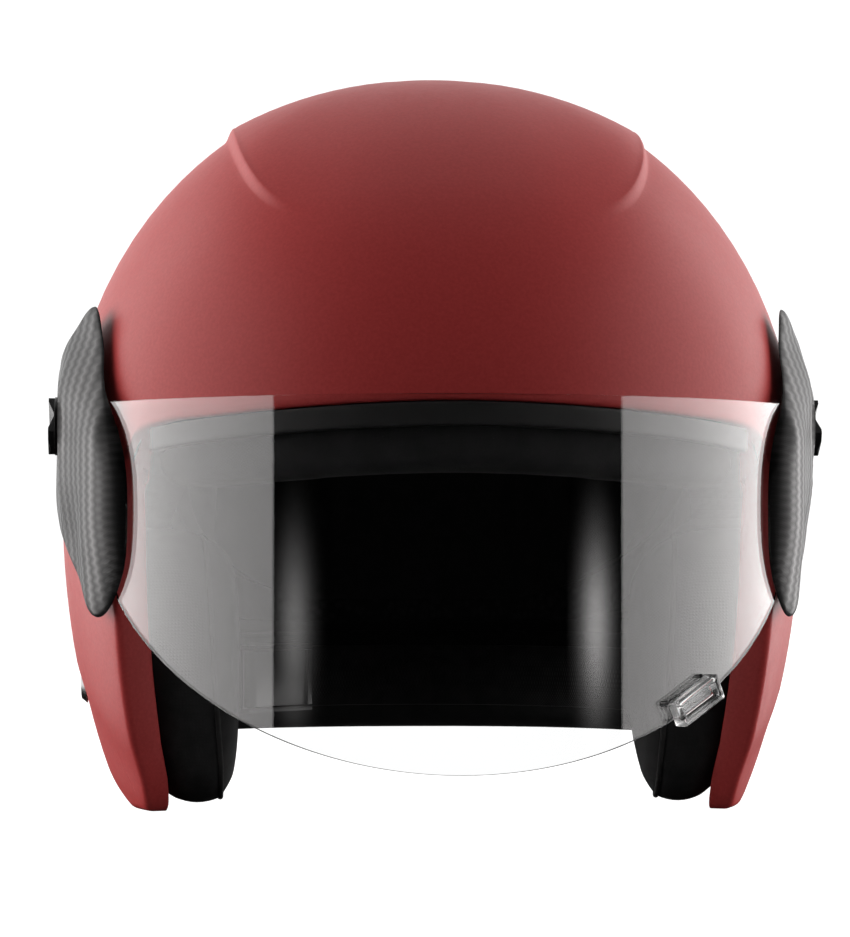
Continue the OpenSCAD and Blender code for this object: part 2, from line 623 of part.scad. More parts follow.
// Chin strap, buckled and laid back along the neck roll
strap_back_in = neck_in + neck_wall + 0.4 + strap_wall / 2;
strap_bend = 16;
strap_tail = 3.3;
function strap_rad(az) = mix(strap_in_wall - strap_wall / 2, skin_rad(az, strap_z, strap_back_in),
  ease((abs(az) - rivet_az - 3) / strap_bend));
function strap_spot(az) = strap_rad(az) * [sin(az), -cos(az)];
function strap_off(az, d) = let (v = strap_spot(az + 0.5) - strap_spot(az - 0.5))
  strap_spot(az) + d / norm(v) * [v[1], -v[0]];
// Turn along the strap for a length at the buckle
function strap_turn(l) = l / strap_rad(buckle_az) * 180 / PI;
strap_short = 0.9;
strap_lap = 5.8;
module webbing(from, to) {
  steps = ceil(abs(to - from) / 2.5);
  path = [for (i = [0:steps]) mix(from, to, i / steps)];
  translate([0, 0, strap_z - strap_w / 2]) linear_extrude(height = strap_w)
    polygon(concat([for (a = path) strap_off(a, strap_wall / 2)],
      reversed([for (a = path) strap_off(a, -strap_wall / 2)])));
}
module left_strap() {
  color([0.05, 0.05, 0.05]) difference() {
    webbing(rivet_az - strap_tail, 360 + buckle_az - strap_turn(buckle_l / 2 + strap_short));
    at_rivet(rivet_face - through / 2) cylinder(r = rivet_r + 2 * fit_clear, h = through);
  }
}
module right_strap() {
  color([0.05, 0.05, 0.05]) difference() {
    webbing(strap_tail - rivet_az, buckle_az - strap_turn(buckle_l / 2 - strap_lap));
    mirror([1, 0, 0]) at_rivet(rivet_face - through / 2) cylinder(r = rivet_r + 2 * fit_clear, h = through);
  }
}
module strap_rivets() {
  foot = strap_in_wall - strap_wall - 0.25;
  color([0.75, 0.75, 0.77]) both_sides() {
    at_rivet(foot) cylinder(r = rivet_r, h = rivet_face - spot_depth - foot + 0.1);
    at_rivet(foot - 1.5) cylinder(r = rivet_r + 2.5, h = 1.5);
    at_rivet(rivet_face - spot_depth)
      cylinder(r1 = rivet_head_r, r2 = rivet_head_r - 1.5, h = rivet_head_h);
  }
}
module strap_spacers() {
  color([0.3, 0.3, 0.31]) both_sides() difference() {
    at_rivet(strap_in_wall + 0.05) cylinder(r = spacer_r, h = spacer_wall);
    at_rivet(strap_in_wall - 1) cylinder(r = rivet_r + fit_clear, h = through);
  }
}

// Ratchet buckle on the strap: X along the strap, Y towards the head
buckle_az = -142;
body_y = 3;
body_wall = 1.6;
body_deep = 8.5;
pin_r = 1.5;
pin_x = buckle_l / 2 - 5;
pin_y = body_y + 5.6;
lever_wall = 2;
lever_half_h = buckle_h / 2 - body_wall - 0.4;
tongue_half_h = lever_half_h - 2;
tongue_y = body_y + body_wall + 0.3;
tongue_wall = 1.6;
tongue_l = 33;
module at_buckle() {
  p = strap_spot(buckle_az);
  v = strap_spot(buckle_az + 1) - strap_spot(buckle_az - 1);
  translate([p[0], p[1], strap_z]) rotate([0, 0, atan2(v[1], v[0])]) children();
}
module buckle_body() {
  color([0.6, 0.6, 0.62]) at_buckle() difference() {
    translate([-buckle_l / 2, body_y, -buckle_h / 2]) cube([buckle_l, body_deep, buckle_h]);
    translate([-buckle_l / 2 - 1, body_y + body_wall, -buckle_h / 2 + body_wall])
      cube([buckle_l + 2, body_deep, buckle_h - 2 * body_wall]);
    translate([pin_x, pin_y, -buckle_h]) cylinder(r = pin_r + 0.02, h = 2 * buckle_h);
  }
}
module buckle_pin() {
  color([0.75, 0.75, 0.77]) at_buckle()
    translate([pin_x, pin_y, -buckle_h / 2 - 0.6]) cylinder(r = pin_r, h = buckle_h + 1.2);
}
module buckle_lever() {
  color([0.55, 0.06, 0.06]) at_buckle() difference() {
    union() {
      translate([pin_x, pin_y, -lever_half_h]) cylinder(r = pin_r + 1.4, h = 2 * lever_half_h);
      translate([-buckle_l / 2 + 3, pin_y + 0.9, -lever_half_h])
        cube([pin_x + buckle_l / 2 - 3, lever_wall, 2 * lever_half_h]);
      translate([-buckle_l / 2 + 1.5, pin_y + 0.9, -lever_half_h])
        cube([3, lever_wall + 1.2, 2 * lever_half_h]);
    }
    translate([pin_x, pin_y, -buckle_h]) cylinder(r = pin_r + run_clear, h = 2 * buckle_h);
  }
}
module ratchet_tongue() {
  teeth = 9;
  pitch = 2.2;
  first = pin_x - 7 - teeth * pitch;
  color([0.8, 0.8, 0.81]) at_buckle() union() {
    translate([pin_x - 6 - tongue_l, tongue_y, -tongue_half_h])
      cube([tongue_l, tongue_wall, 2 * tongue_half_h]);
    translate([0, 0, -tongue_half_h + 1]) linear_extrude(height = 2 * tongue_half_h - 2)
      for (i = [0:teeth - 1])
        translate([first + i * pitch, tongue_y + tongue_wall - 0.05])
          polygon([[0, 0], [pitch - 0.3, 0], [0, 0.9]]);
  }
}

outer_shell();
impact_liner();
crown_pad();
brow_pad();
brow_trim();
neck_roll();
left_cheek_pad();
right_cheek_pad();
left_side_cover();
right_side_cover();
left_pivot_cup();
right_pivot_cup();
left_pivot_hub();
right_pivot_hub();
left_friction_ring();
right_friction_ring();
left_lock_nut();
right_lock_nut();
hub_screws();
left_knob();
right_knob();
visor();
strap_rivets();
strap_spacers();
left_strap();
right_strap();
buckle_body();
buckle_pin();
buckle_lever();
ratchet_tongue();
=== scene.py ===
"""Studio scene of an open-face helmet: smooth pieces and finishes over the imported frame."""

from __future__ import annotations

import json
import logging
import math
from collections.abc import Iterator
from contextlib import contextmanager
from dataclasses import dataclass
from enum import Enum
from typing import Any

import bpy
import numpy as np
from mathutils import Matrix, Vector

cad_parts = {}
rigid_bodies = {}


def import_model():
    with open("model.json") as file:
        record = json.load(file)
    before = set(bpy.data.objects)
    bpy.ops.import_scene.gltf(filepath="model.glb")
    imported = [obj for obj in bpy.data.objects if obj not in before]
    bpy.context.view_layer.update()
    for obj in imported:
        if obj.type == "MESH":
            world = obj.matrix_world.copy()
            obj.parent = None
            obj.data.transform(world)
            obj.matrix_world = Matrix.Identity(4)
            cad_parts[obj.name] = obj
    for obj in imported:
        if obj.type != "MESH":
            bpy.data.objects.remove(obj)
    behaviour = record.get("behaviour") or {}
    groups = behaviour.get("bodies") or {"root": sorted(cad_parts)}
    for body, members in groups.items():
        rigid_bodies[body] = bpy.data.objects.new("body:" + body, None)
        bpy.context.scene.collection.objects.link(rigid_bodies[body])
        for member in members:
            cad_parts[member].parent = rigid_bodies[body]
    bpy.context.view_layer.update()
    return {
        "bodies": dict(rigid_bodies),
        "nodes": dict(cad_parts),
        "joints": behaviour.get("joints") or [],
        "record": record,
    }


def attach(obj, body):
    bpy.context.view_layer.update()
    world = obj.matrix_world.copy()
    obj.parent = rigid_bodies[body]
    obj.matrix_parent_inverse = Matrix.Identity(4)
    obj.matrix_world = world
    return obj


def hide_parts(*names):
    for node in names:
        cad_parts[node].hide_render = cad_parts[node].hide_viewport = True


LOG = logging.getLogger("helmet")
MM = 0.001
MERGE = 1e-6
Pair = tuple[float, float]
Point = tuple[float, float, float]
Colour = tuple[float, float, float]
Ring = list[Point]
Piece = bpy.types.Object
Look = bpy.types.Material


class Side(Enum):
    """Side of the wearer; the value is the sign of X."""

    LEFT = 1
    RIGHT = -1

    @property
    def word(self) -> str:
        """The side as it stands in node names."""
        return self.name.lower()


class Body(Enum):
    """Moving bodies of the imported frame."""

    HELMET = "helmet"
    VISOR = "visor"
    LEFT_KNOB = "left_knob"
    RIGHT_KNOB = "right_knob"
    LEVER = "buckle_lever"


def grey(v: float) -> Colour:
    """Neutral colour."""
    return (v, v, v)


def mix(a: float, b: float, k: float) -> float:
    """Straight blend from a to b."""
    return a + (b - a) * k


def clamp(v: float) -> float:
    """Holds v between 0 and 1."""
    return min(1.0, max(0.0, v))


def ease(v: float) -> float:
    """Soft step from 0 to 1."""
    c = clamp(v)
    return c * c * (3 - 2 * c)


def curve_through(a: np.ndarray, b: np.ndarray, c: np.ndarray, d: np.ndarray, t: float) -> np.ndarray:
    """Smooth curve from knot b (t = 0) to knot c (t = 1), with a before and d after them."""
    square, cube = 2 * a - 5 * b + 4 * c - d, 3 * b - a - 3 * c + d
    return 0.5 * (2 * b + (c - a) * t + square * t * t + cube * t**3)


def open_spline(path: list[list[float]], u: float) -> np.ndarray:
    """Smooth curve through a path that is mirrored at both ends.

    Args:
        path: Knots; the first number of a knot runs on at the ends, the others mirror.
        u: Place along the path in knots.

    Returns:
        The point on the curve.
    """
    p = [np.array(q, float) for q in path]
    for end, inner, at in ((p[0], p[1], 0), (p[-1], p[-2], len(p) + 1)):
        beyond = inner.copy()
        beyond[0] = 2 * end[0] - inner[0]
        p.insert(at, beyond)
    i = min(int(u), len(path) - 2)
    return curve_through(*p[i : i + 4], u - i)


def loop_spline(path: list[list[float]], u: float) -> np.ndarray:
    """Smooth closed curve through a path.

    Args:
        path: Knots of the loop.
        u: Place along the loop in knots.

    Returns:
        The point on the curve.
    """
    n, i = len(path), int(u)
    p = [np.array(path[(i + k) % n], float) for k in (-1, 0, 1, 2)]
    return curve_through(*p, u - i)


def deselect() -> None:
    """Leaves edit mode and deselects everything."""
    if bpy.context.object and bpy.context.object.mode != "OBJECT":
        bpy.ops.object.mode_set(mode="OBJECT")
    bpy.ops.object.select_all(action="DESELECT")


def pick(obj: Piece) -> None:
    """Selects one object and makes it active.

    Args:
        obj: The object.
    """
    deselect()
    obj.select_set(True)
    bpy.context.view_layer.objects.active = obj


@contextmanager
def editing(obj: Piece) -> Iterator[None]:
    """Edit mode with the whole mesh selected.

    Args:
        obj: The mesh object.

    Yields:
        Nothing; the mode is left afterwards.
    """
    pick(obj)
    bpy.ops.object.mode_set(mode="EDIT")
    bpy.ops.mesh.select_all(action="SELECT")
    yield
    bpy.ops.object.mode_set(mode="OBJECT")


def loft(name: str, rings: list[Ring]) -> Piece:
    """Adds a grid, lays its rows on rings of points and closes what meets.

    Args:
        name: Name of the piece.
        rings: Rows of points in millimetres, all of one length.

    Returns:
        The new object.
    """
    cols, rows = len(rings[0]) - 1, len(rings) - 1
    deselect()
    bpy.ops.mesh.primitive_grid_add(
        x_subdivisions=cols, y_subdivisions=rows, size=1.0, location=(0, 0, 0)
    )
    obj = bpy.context.object
    obj.name = obj.data.name = name
    places = np.empty(len(obj.data.vertices) * 3)
    obj.data.vertices.foreach_get("co", places)
    places = places.reshape(-1, 3)
    i = np.rint((places[:, 0] + 0.5) * cols).astype(int)
    j = np.rint((places[:, 1] + 0.5) * rows).astype(int)
    laid = np.array(rings, float)[j, i] * MM
    obj.data.vertices.foreach_set("co", laid.ravel())
    obj.data.update()
    with editing(obj):
        bpy.ops.mesh.remove_doubles(threshold=MERGE)
        bpy.ops.mesh.dissolve_degenerate(threshold=MERGE)
        bpy.ops.mesh.normals_make_consistent(inside=False)
    return obj


def modify(obj: Piece, kind: str, **settings: Any) -> None:
    """Adds a modifier, sets it and applies it.

    Args:
        obj: The mesh object.
        kind: Blender's modifier type.
        **settings: Values of the modifier.
    """
    pick(obj)
    bpy.ops.object.modifier_add(type=kind)
    modifier = obj.modifiers[-1]
    for key, value in settings.items():
        setattr(modifier, key, value)
    bpy.ops.object.modifier_apply(modifier=modifier.name)


def round_edges(obj: Piece, width: float, segments: int = 3, angle: float = 35) -> None:
    """Rounds the sharp edges.

    Args:
        obj: The mesh object.
        width: Width of the rounding in millimetres.
        segments: Steps of the rounding.
        angle: Edges sharper than this are rounded, in degrees.
    """
    modify(
        obj, "BEVEL", width=width * MM, segments=segments, limit_method="ANGLE",
        angle_limit=math.radians(angle), harden_normals=False, use_clamp_overlap=True,
    )


def smooth(obj: Piece, angle: float = 40) -> None:
    """Shades smooth up to an angle in degrees."""
    pick(obj)
    bpy.ops.object.shade_smooth_by_angle(angle=math.radians(angle))


def drill(obj: Piece, at: Point, along: Point, radius: float, depth: float) -> None:
    """Cuts a round hole.

    Args:
        obj: The mesh object.
        at: Middle of the cut in millimetres.
        along: Direction of the hole.
        radius: Radius of the hole in millimetres.
        depth: Length of the cut in millimetres.
    """
    deselect()
    turn = Vector(along).to_track_quat("Z", "Y").to_euler()
    bpy.ops.mesh.primitive_cylinder_add(
        vertices=64, radius=radius * MM, depth=depth * MM, location=Vector(at) * MM, rotation=turn
    )
    tool = bpy.context.object
    modify(obj, "BOOLEAN", operation="DIFFERENCE", object=tool, solver="EXACT")
    bpy.data.objects.remove(tool)


def copied(obj: Piece, name: str) -> Piece:
    """Copies an object's mesh into a new piece.

    Args:
        obj: The object to copy.
        name: Name of the piece.

    Returns:
        The new piece.
    """
    twin = bpy.data.objects.new(name, obj.data.copy())
    twin.data.name = name
    bpy.context.scene.collection.objects.link(twin)
    return twin


def mirrored(obj: Piece, name: str) -> Piece:
    """Copies a piece to the other side of the middle plane.

    Args:
        obj: The piece.
        name: Name of the copy.

    Returns:
        The mirrored copy with its own mesh.
    """
    twin = copied(obj, name)
    with editing(twin):
        bpy.ops.transform.resize(value=(-1, 1, 1), center_override=(0, 0, 0))
        bpy.ops.mesh.flip_normals()
    return twin


def place(obj: Piece, material: Look, body: Body, slot: str, *nodes: str) -> Piece:
    """Dresses a new piece and ties it to the frame.

    Args:
        obj: The new piece.
        material: Its finish.
        body: The body that it rides on.
        slot: The record's material slot; not used.
        *nodes: Frame nodes that it stands for.

    Returns:
        The piece.
    """
    obj.data.materials.clear()
    obj.data.materials.append(material)
    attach(obj, body.value)
    if nodes:
        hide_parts(*nodes)
    LOG.info("piece %s on %s: %d faces", obj.name, body.value, len(obj.data.polygons))
    return obj


class Nodes:
    """Small builder of a node tree."""

    def __init__(self, tree: bpy.types.NodeTree) -> None:
        """Takes a tree to build in."""
        self.tree = tree

    def add(self, kind: str, **props: Any) -> Any:
        """Adds a node and sets its properties.

        Args:
            kind: Blender's node type.
            **props: Properties of the node.

        Returns:
            The node.
        """
        node = self.tree.nodes.new(kind)
        for key, value in props.items():
            setattr(node, key, value)
        return node

    def feed(self, socket: Any, value: Any) -> None:
        """Links a socket or sets a number.

        Args:
            socket: The input socket.
            value: An output socket, a number or a row of numbers.
        """
        if isinstance(value, (int, float, tuple, list)):
            socket.default_value = value
        else:
            self.tree.links.new(value, socket)

    def math(self, operation: str, a: Any, b: Any = 0.0, c: Any = 0.0) -> Any:
        """A math node's result.

        Args:
            operation: Blender's name of the operation.
            a: First socket or number.
            b: Second socket or number.
            c: Third socket or number.

        Returns:
            The result's socket.
        """
        node = self.add("ShaderNodeMath", operation=operation)
        for socket, value in zip(node.inputs, (a, b, c)):
            self.feed(socket, value)
        return node.outputs[0]

    def spread(self, value: Any, low: float, high: float, start: float = 0.0, end: float = 1.0) -> Any:
        """Maps a value from start..end to low..high.

        Args:
            value: The socket to read.
            low: Result at the start.
            high: Result at the end.
            start: Value that gives the low result.
            end: Value that gives the high result.

        Returns:
            The result's socket.
        """
        node = self.add("ShaderNodeMapRange")
        limits = (("From Min", start), ("From Max", end), ("To Min", low), ("To Max", high))
        for key, number in limits:
            node.inputs[key].default_value = number
        self.feed(node.inputs["Value"], value)
        return node.outputs["Result"]


class Craft(Nodes):
    """Builder of a node material on Object coordinates."""

    def __init__(self, name: str) -> None:
        """Starts a material with its shader.

        Args:
            name: Name of the material.
        """
        self.material = bpy.data.materials.new(name)
        self.material.use_nodes = True
        super().__init__(self.material.node_tree)
        self.shader = self.tree.nodes["Principled BSDF"]
        self._axes: Any = None
        self._object: Any = None

    def set(self, **values: Any) -> None:
        """Sets the shader's own sockets; underscores stand for blanks."""
        for key, value in values.items():
            self.shader.inputs[key.replace("_", " ")].default_value = value

    def object_coords(self) -> Any:
        """Object coordinates of the piece, in metres.

        Returns:
            The vector socket.
        """
        if self._object is None:
            self._object = self.add("ShaderNodeTexCoord").outputs["Object"]
        return self._object

    def axis(self, which: str) -> Any:
        """One of the piece's X, Y and Z.

        Args:
            which: Name of the axis.

        Returns:
            The axis's socket.
        """
        if self._axes is None:
            self._axes = self.add("ShaderNodeSeparateXYZ")
            self.feed(self._axes.inputs[0], self.object_coords())
        return self._axes.outputs[which]

    def noise(self, scale: float, detail: float = 2.0, rough: float = 0.5, coords: Any = None) -> Any:
        """Noise of so many spots per metre.

        Args:
            scale: Spots per metre.
            detail: Finer layers.
            rough: Weight of the finer layers.
            coords: Coordinates in place of the piece's own.

        Returns:
            The noise's socket.
        """
        node = self.add("ShaderNodeTexNoise")
        self.feed(node.inputs["Vector"], coords or self.object_coords())
        for key, value in (("Scale", scale), ("Detail", detail), ("Roughness", rough)):
            node.inputs[key].default_value = value
        return node.outputs["Fac"]

    def ramp(self, value: Any, *stops: tuple[float, Colour]) -> Any:
        """Colours along a value.

        Args:
            value: The socket to read.
            *stops: Place and colour of each stop.

        Returns:
            The colour socket.
        """
        node = self.add("ShaderNodeValToRGB")
        while len(node.color_ramp.elements) < len(stops):
            node.color_ramp.elements.new(0.5)
        for element, (spot, colour) in zip(node.color_ramp.elements, stops):
            element.position = spot
            element.color = (*colour, 1)
        self.feed(node.inputs["Fac"], value)
        return node.outputs["Color"]

    def bell(self, value: Any, mid: float, size: float) -> Any:
        """Bell curve of a value about a middle."""
        off = self.math("DIVIDE", self.math("SUBTRACT", value, mid), size)
        return self.math("EXPONENT", self.math("MULTIPLY", self.math("MULTIPLY", off, off), -1.0))

    def colour(self, socket: Any) -> None:
        """Links the base colour."""
        self.feed(self.shader.inputs["Base Color"], socket)

    def roughness(self, socket: Any) -> None:
        """Links the roughness."""
        self.feed(self.shader.inputs["Roughness"], socket)

    def bump(self, height: Any, depth: float, strength: float = 1.0) -> None:
        """Raises the surface by a height.

        Args:
            height: The height's socket.
            depth: Depth in millimetres.
            strength: Share of the bump.
        """
        node = self.add("ShaderNodeBump")
        node.inputs["Strength"].default_value = strength
        node.inputs["Distance"].default_value = depth * MM
        self.feed(node.inputs["Height"], height)
        self.feed(self.shader.inputs["Normal"], node.outputs["Normal"])


def sind(a: float) -> float:
    """Sine of an angle in degrees."""
    return math.sin(math.radians(a))


def cosd(a: float) -> float:
    """Cosine of an angle in degrees."""
    return math.cos(math.radians(a))


def signed_power(v: float, power: float) -> float:
    """Power of the size of v with the sign of v."""
    return math.copysign(abs(v) ** power, v)


@dataclass(frozen=True)
class Form:
    """The rounded skin that all pieces follow; azimuths run from the front, in degrees."""

    half_w: float = 125.5
    front: float = 142.0
    rear: float = 150.0
    wide_z: float = 105.0
    crown: float = 141.0
    skirt: float = 187.0
    power: float = 2.1

    def pw(self, v: float) -> float:
        """The form's power of a share."""
        return abs(v) ** self.power

    def root(self, v: float) -> float:
        """The form's root of a share."""
        return max(0.0, v) ** (1 / self.power)

    def axis_y(self, y: float, t: float) -> float:
        """Reach to the front or the rear, set in by t."""
        return (self.front if y < 0 else self.rear) - t

    def axis_z(self, z: float, t: float) -> float:
        """Reach up or down, set in by t."""
        return (self.crown if z > self.wide_z else self.skirt) - t

    def level(self, z: float, t: float) -> float:
        """Share of the widest section at a height."""
        return 1 - self.pw((z - self.wide_z) / self.axis_z(z, t))

    def side_x(self, y: float, z: float, t: float) -> float:
        """Sideways reach of the skin at a place of the side view."""
        return (self.half_w - t) * self.root(self.level(z, t) - self.pw(y / self.axis_y(y, t)))

    def radius(self, az: float, z: float, t: float) -> float:
        """Distance of the skin from the axis at an azimuth and a height."""
        across = self.pw(sind(az) / (self.half_w - t)) + self.pw(cosd(az) / self.axis_y(-cosd(az), t))
        return self.root(self.level(z, t)) / self.root(across)

    def tilt(self, az: float, z: float, t: float) -> float:
        """Angle from the crown's axis to a height of the skin."""
        return math.degrees(math.atan2(self.radius(az, z, t), z - self.wide_z))

    def spot(self, az: float, tilt: float, t: float, rise: float = 0.0) -> np.ndarray:
        """Point of the skin along a ray.

        Args:
            az: Azimuth from the front.
            tilt: Angle from the crown's axis.
            t: Distance that the skin is set in.
            rise: Distance that the point stands out along the ray.

        Returns:
            The point in millimetres.
        """
        d = np.array([sind(tilt) * sind(az), -sind(tilt) * cosd(az), cosd(tilt)])
        share = (
            self.pw(d[0] / (self.half_w - t))
            + self.pw(d[1] / self.axis_y(d[1], t))
            + self.pw(d[2] / self.axis_z(self.wide_z + d[2], t))
        )
        return np.array([0, 0, self.wide_z]) + d * (1 / self.root(share) + rise)


def corner(before: np.ndarray, at: np.ndarray, after: np.ndarray, steps: int) -> list[np.ndarray]:
    """Rounded corner between two points.

    Args:
        before: Start of the rounding.
        at: The sharp corner.
        after: End of the rounding.
        steps: Stretches of the rounding.

    Returns:
        Points from before to after.
    """
    shares = [i / steps for i in range(steps + 1)]
    return [(1 - t) ** 2 * before + 2 * t * (1 - t) * at + t * t * after for t in shares]


def capped(rings: list[Ring]) -> list[Ring]:
    """Closes both ends of a stack of rings with a point.

    Args:
        rings: The open stack.

    Returns:
        The stack with its ends drawn together.
    """
    ends = []
    for ring in (np.array(rings[0]), np.array(rings[-1])):
        ends.append([tuple((ring.min(axis=0) + ring.max(axis=0)) / 2)] * len(ring))
    return [ends[0], *rings, ends[1]]


@dataclass
class Shell:
    """Outer shell with the raised crown panel, the cheek sides and the inward lip."""

    form: Form
    half_cols: int = 84
    wall: float = 4.0
    lip_wall: float = 3.0
    brow_z: float = 131.5
    brow_turn: float = 46.0
    brow_sag: float = 7.0
    rear_rim_z: float = 20.0
    cheek_lip: float = 13.0
    rim_lip: float = 5.5
    panel_half_w: float = 66.5
    panel_reach: float = 108.0
    panel_rise: float = 2.6
    panel_step: float = 2.2
    panel_fade: tuple[Pair, Pair] = ((22.0, 24.0), (170.0, 26.0))
    edge_round: float = 2.6
    tip_round: float = 1.0
    back_round: float = 0.8
    crease_deep: float = 1.1
    crease_line: Point = (58.0, 22.0, 0.95)
    crease_soft: float = 12.0
    pivot: Point = (120.0, -28.0, 127.0)
    pivot_r: float = 18.2
    rivet_az: float = 94.0
    rivet_z: float = 40.0
    rivet_r: float = 2.6
    seat_r: float = 7.0
    seat_deep: float = 1.6
    bare_z: float = 150.0

    def brow_edge(self, az: float) -> float:
        """Height of the brow edge at an azimuth."""
        return self.brow_z - self.brow_sag * (abs(az) / self.brow_turn) ** 1.6

    def edge(self, u: float) -> np.ndarray:
        """Azimuth, height and lip depth of the edge.

        Args:
            u: Share from the brow (0) to the nape (1).

        Returns:
            The three numbers.
        """
        b, c, r, z = self.brow_edge, self.cheek_lip, self.rim_lip, self.brow_z
        rim = self.rear_rim_z
        path = [
            [0, z, r], [15, b(15), r], [31, b(31), r], [46, b(46), 0.55 * c], [51.5, z - 19, 0.8 * c],
            [53.5, z - 40, c], [55, 62, c], [57.5, 26, 0.9 * c], [60, 6, 0.7 * c], [64, -1, 0.6 * c],
            [70, -0.5, 0.58 * c], [78, 0.25 * rim, 0.55 * c], [91, 0.68 * rim, r + 1],
            [110, rim, r], [145, rim, r], [180, rim, r],
        ]
        q = open_spline(path, u * (len(path) - 1))
        q[1] = max(0.0, q[1])
        return q

    def panel_tilt(self, az: float) -> float:
        """Angle from the crown's axis to the panel's edge.

        Args:
            az: Azimuth from the front.

        Returns:
            The angle in degrees.
        """
        across, along = abs(sind(az)) / self.panel_half_w, abs(cosd(az)) / self.panel_reach
        r = (across**4 + along**4) ** -0.25
        y = -r * cosd(az)
        f = self.form
        top = f.crown * f.root(1 - f.pw(r * sind(az) / f.half_w) - f.pw(y / f.axis_y(y, 0)))
        return math.degrees(math.atan2(r, top))

    def crest(self, az: float) -> float:
        """Height of the panel's edge, fading to the brow and the nape."""
        (start, in_run), (end, out_run) = self.panel_fade
        return self.panel_rise * ease((abs(az) - start) / in_run) * ease((end - abs(az)) / out_run)

    def creased(self, p: np.ndarray) -> np.ndarray:
        """Draws the lower cheek in below a slanting crease.

        Args:
            p: Point of the skin.

        Returns:
            The point drawn in.
        """
        az = math.degrees(math.atan2(abs(p[0]), -p[1]))
        line_az, line_z, slope = self.crease_line
        below = line_z + slope * (az - line_az) - p[2]
        ends = (1 - ease((az - 92) / 20)) * ease((az - 50) / 6)
        deep = self.crease_deep * clamp(below / self.crease_soft) * ends
        r = math.hypot(p[0], p[1])
        return p - np.array([p[0] / r, p[1] / r, 0]) * deep

    def side_point(self, u: float, sign: int, k: float, t: float) -> np.ndarray:
        """Point on a column, k from the panel (0) to the edge (1).

        Args:
            u: The column's share from the brow to the nape.
            sign: Side of the helmet.
            k: Share along the column.
            t: Distance that the skin is set in.

        Returns:
            The point in millimetres.
        """
        q, az = self.edge(u), 180 * u
        p = 1 + 1.6 * ease((u - 0.2) / 0.1) * ease((0.6 - u) / 0.1)
        h = k ** (0.65 + 0.35 * p)
        top, low = self.panel_tilt(az) + self.panel_step, self.form.tilt(q[0], q[1], 0)
        tilt = mix(top, low, 1 - (1 - h) ** p)
        spot = self.form.spot(sign * mix(az, q[0], h**p), tilt, t)
        return self.creased(spot) if t == 0 else spot

    def column(self, u: float, sign: int) -> list[np.ndarray]:
        """One column of the shell from the crown over the edge to the inside of the crown.

        Args:
            u: The column's share from the brow to the nape.
            sign: Side of the helmet.

        Returns:
            The column's points.
        """
        az, q = 180 * u, self.edge(u)
        tilt, crest = self.panel_tilt(az), self.crest(az)
        out = [self.form.spot(sign * az, f * tilt, 0, crest * f * f) for f in np.linspace(0, 0.97, 13)]
        for s in (-0.12, 0.0, 0.12, 0.3, 0.5, 0.7, 0.88):
            fall = crest * (1 - ease(s)) if s > 0 else crest * (1 + 0.3 * s) ** 2
            out.append(self.form.spot(sign * az, tilt + self.panel_step * s, 0, fall))
        out += [self.side_point(u, sign, k, 0) for k in np.linspace(0, 0.965, 34)]
        edge, near = self.side_point(u, sign, 1, 0), self.side_point(u, sign, 0.97, 0)
        along = (edge - near) / np.linalg.norm(edge - near)
        inward = np.array([-sign * sind(q[0]), cosd(q[0]), 0])
        tip = edge + q[2] * inward
        back = tip - self.lip_wall * along
        r, t, b = self.edge_round, self.tip_round, self.back_round
        out += corner(edge - r * along, edge, edge + r * inward, 5)
        out += [mix(edge + r * inward, tip - t * inward, 0.5)]
        out += corner(tip - t * inward, tip, tip - t * along, 3)
        out += corner(back + b * along, back, back - b * inward, 2)
        share = 0.04 * self.lip_wall / np.linalg.norm(edge - self.side_point(u, sign, 0.96, 0))
        out += [self.side_point(u, sign, (1 - share) * k, self.wall) for k in np.linspace(1, 0, 14)]
        out += [self.form.spot(sign * az, f * tilt, self.wall) for f in (0.75, 0.5, 0.25, 0)]
        return out

    def build(self) -> Piece:
        """Models the shell and cuts the pivot openings and the rivet seats.

        Returns:
            The shell.
        """
        n = self.half_cols
        columns = [self.column(j / n, 1) for j in range(n + 1)]
        columns += [self.column((2 * n - j) / n, -1) for j in range(n + 1, 2 * n + 1)]
        rings = [[tuple(c[i]) for c in columns] for i in range(len(columns[0]))]
        obj = loft("shell_smooth", rings)
        (x, y, z), az, rivet_z = self.pivot, self.rivet_az, self.rivet_z
        face = self.form.radius(az, rivet_z, 0)
        mid = face - self.seat_deep + 10
        for sign in (1, -1):
            drill(obj, (sign * x, y, z), (sign, 0, 0), self.pivot_r, 40)
            out = (sign * sind(az), -cosd(az), 0)
            drill(obj, (out[0] * mid, out[1] * mid, rivet_z), out, self.seat_r, 20)
            drill(obj, (out[0] * face, out[1] * face, rivet_z), out, self.rivet_r, 30)
        smooth(obj, 38)
        return obj

    def bare_inside(self, obj: Piece, material: Look) -> None:
        """Leaves the inner wall of the shell without paint.

        Args:
            obj: The painted shell.
            material: Finish of the inner wall.
        """
        obj.data.materials.append(material)
        for face in obj.data.polygons:
            x, y, z = face.center / MM
            az = math.degrees(math.atan2(x, -y))
            inward = face.normal.x * sind(az) - face.normal.y * cosd(az) < -0.6
            off = abs(self.form.radius(az, z, self.wall) - math.hypot(x, y))
            if inward and z < self.bare_z and off < 0.6:
                face.material_index = 1


